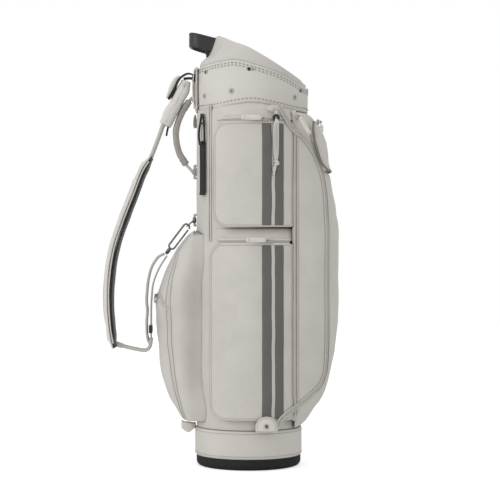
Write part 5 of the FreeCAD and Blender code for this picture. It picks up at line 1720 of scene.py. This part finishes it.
def follow(name, tree, moves):
    """A sheet takes on the movement of the simulated net under it."""
    mesh = bpy.data.objects[name].data
    placed = points_of(mesh)
    for i, p in enumerate(placed):
        near = tree.find_n(p, 12)
        if not near or near[0][2] > REACH:
            continue
        weights = np.array([math.exp(-((d - near[0][2]) / 6) ** 2) for _, _, d in near])
        shift = (weights[:, None] * moves[[k for _, k, _ in near]]).sum(0) / weights.sum()
        placed[i] = p + shift * ease((REACH - near[0][2]) / 6)
    mesh.vertices.foreach_set("co", (placed * MM).ravel())
    mesh.update()


def ramp(value, low, high):
    return smoothstep((value - low) / (high - low))


def fabric_jobs():
    """The padded pieces: net size, how far a point may move, how loose the points are (0 to 1), and the
    simulated piece followed by the sheets and trims that take part."""
    def side_loose(pocket):
        def loose(p):
            r = np.hypot(p[:, 0] - SIDE_X, p[:, 1])
            edge = np.minimum.reduce([p[:, 0] - pocket.left, pocket.right - p[:, 0], p[:, 2] - pocket.low,
                                      pocket.high - p[:, 2]])
            return ramp(edge, 8, 26) * ramp(r, SIDE_R - 12, SIDE_R - 6)
        return loose

    def garment_loose(p):
        arc = spline(ZIP_ARC, 160)
        off = np.min(np.hypot(p[:, 0:1] - arc[None, :, 0], p[:, 2:3] - arc[None, :, 1]), axis=1)
        return (ramp(p[:, 0], 101, 118) * ramp(p[:, 2], 150, 210) * ramp(600 - p[:, 2], 0, 60)
                * ramp(off, 5, 20))

    def ball_loose(p):
        level = np.abs(p[:, 2] - 345)
        return (ramp(-p[:, 0], 118, 132) * ramp(p[:, 2], 104, 130) * ramp(470 - p[:, 2], 0, 25)
                * ramp(level, 14, 30))

    def front_loose(p):
        depth = np.array([x - garment_reach(max(z, FRONT_FOLD)) for x, _, z in p])
        return ramp(p[:, 2], 612, 628) * ramp(690 - p[:, 2], 0, 14) * ramp(depth, 1, 7)

    def pad_loose(p):
        return ramp(p[:, 2], 262, 290) * ramp(622 - p[:, 2], 0, 25)

    def cover_loose(p):
        return ramp(p[:, 2], 712, 724) * ramp(790 - p[:, 2], 0, 16)
    jobs = [(6.0, 3.0, garment_loose,
             ["garment_bag", "garment_piping", "garment_zip_tapes", "garment_zip_teeth"]),
            (6.0, 3.0, ball_loose, ["ball_bag", "ball_piping", "ball_zip_tape", "ball_zip_teeth"]),
            (5.0, 2.0, front_loose, ["front_pocket_bag", "front_pocket_piping"]),
            (5.0, 2.0, pad_loose, ["pad_face", "pad_piping", "pad_stitches"]),
            (5.0, 1.8, cover_loose, ["strap_cover_tube", "strap_cover_seams"])]
    side_jobs = []
    for sign in (-1, 1):
        for level in ("upper", "lower"):
            pocket = SidePocket(level, sign)
            bag = f"{pocket.name}_pocket"
            side_jobs.append((6.0, 1.8, side_loose(pocket), [f"{bag}_bag", f"{bag}_piping", "stripe_bands"]))
    return side_jobs + jobs


def net_moves(net, start, loose, normals, cap):
    """Movement of a simulated net: mostly in and out, without the swelling, and no more than cap."""
    moved = net.evaluated_get(bpy.context.evaluated_depsgraph_get()).to_mesh()
    moves = points_of(moved) - start
    outward = (moves * normals).sum(1)
    free = loose > 0.9
    swell = float(outward[free].mean()) if free.any() else 0.0
    along = moves - normals * outward[:, None]
    moves = soften(net.data, normals * (outward - swell * SWELL_OFF)[:, None] + along * SLIP)
    size = np.linalg.norm(moves, axis=1)
    return moves * (cap * np.tanh(size / cap) / np.maximum(size, 1e-6) * loose)[:, None]


def settle_fabric():
    """Cloth simulation of the padded pieces, passed on to the sheets and trims that lie on them."""
    nets = []
    for voxel, cap, loose_at, trims in fabric_jobs():
        net = even_copy(trims[0], voxel)
        start = points_of(net.data)
        loose = loose_at(start)
        normals = np.empty(len(net.data.vertices) * 3)
        net.data.vertices.foreach_get("normal", normals)
        add_cloth(net, loose, CLOTH_PRESSURE, CLOTH_FULLNESS)
        nets.append((net, start, loose, normals.reshape(-1, 3), cap, trims))
    scene = bpy.context.scene
    first = scene.frame_current
    for frame_number in range(1, CLOTH_FRAMES + 1):
        scene.frame_set(frame_number)
    for net, start, loose, normals, cap, trims in nets:
        moves = net_moves(net, start, loose, normals, cap)
        tree = kdtree.KDTree(len(start))
        for i, p in enumerate(start):
            tree.insert(p, i)
        tree.balance()
        for trim in trims:
            follow(trim, tree, moves)
    scene.frame_set(first)
    for net, *_ in nets:
        mesh = net.data
        bpy.data.objects.remove(net)
        bpy.data.meshes.remove(mesh)


settle_fabric()


# ---------------------------------------------------------------- stage, light and camera

def make_stage():
    floor_mesh = bpy.data.meshes.new("floor")
    floor_mesh.from_pydata([(-6, -6, 0), (6, -6, 0), (6, 6, 0), (-6, 6, 0)], [], [(0, 1, 2, 3)])
    floor = bpy.data.objects.new("floor", floor_mesh)
    bpy.context.scene.collection.objects.link(floor)
    pale = Graph("floor_pale")
    seen = pale.node("ShaderNodeLightPath").outputs["Is Camera Ray"]
    pale.set(Base_Color=(0.9, 0.9, 0.9, 1), Roughness=0.95, Emission_Color=(1, 1, 1, 1),
             Emission_Strength=pale.math("MULTIPLY", seen, 0.56))
    floor_mesh.materials.append(pale.material)

    def area(name, place, target, size, power):
        light = bpy.data.lights.new(name, "AREA")
        light.shape = "RECTANGLE"
        light.size, light.size_y = size
        light.energy = power
        obj = bpy.data.objects.new(name, light)
        obj.location = place
        obj.rotation_euler = (Vector(target) - Vector(place)).to_track_quat("-Z", "Y").to_euler()
        bpy.context.scene.collection.objects.link(obj)
    area("key", (-2.7, -1.7, 1.3), (0, 0, 0.45), (1.5, 1.8), 24)
    area("fill", (0.4, -3.2, 1.0), (0, 0, 0.45), (1.6, 1.6), 4)
    area("top", (0.0, -0.3, 2.6), (0, 0, 0.4), (2.0, 2.0), 8)

    world = bpy.data.worlds.new("studio")
    world.use_nodes = True
    tree = world.node_tree
    path = tree.nodes.new("ShaderNodeLightPath")
    strength = tree.nodes.new("ShaderNodeMapRange")
    strength.inputs["To Min"].default_value = 0.64
    strength.inputs["To Max"].default_value = 1.0
    tree.links.new(path.outputs["Is Camera Ray"], strength.inputs["Value"])
    background = tree.nodes["Background"]
    background.inputs["Color"].default_value = (1, 1, 1, 1)
    tree.links.new(strength.outputs[0], background.inputs["Strength"])
    bpy.context.scene.world = world
    bpy.context.scene.view_settings.view_transform = "Standard"


def make_camera():
    lens = bpy.data.cameras.new("camera")
    lens.lens = 110.8
    lens.sensor_width = 36
    camera = bpy.data.objects.new("camera", lens)
    camera.location = (0.003, -3.2, 0.445)
    camera.rotation_euler = (math.radians(90), 0, 0)
    bpy.context.scene.collection.objects.link(camera)
    bpy.context.scene.camera = camera


make_stage()
make_camera()
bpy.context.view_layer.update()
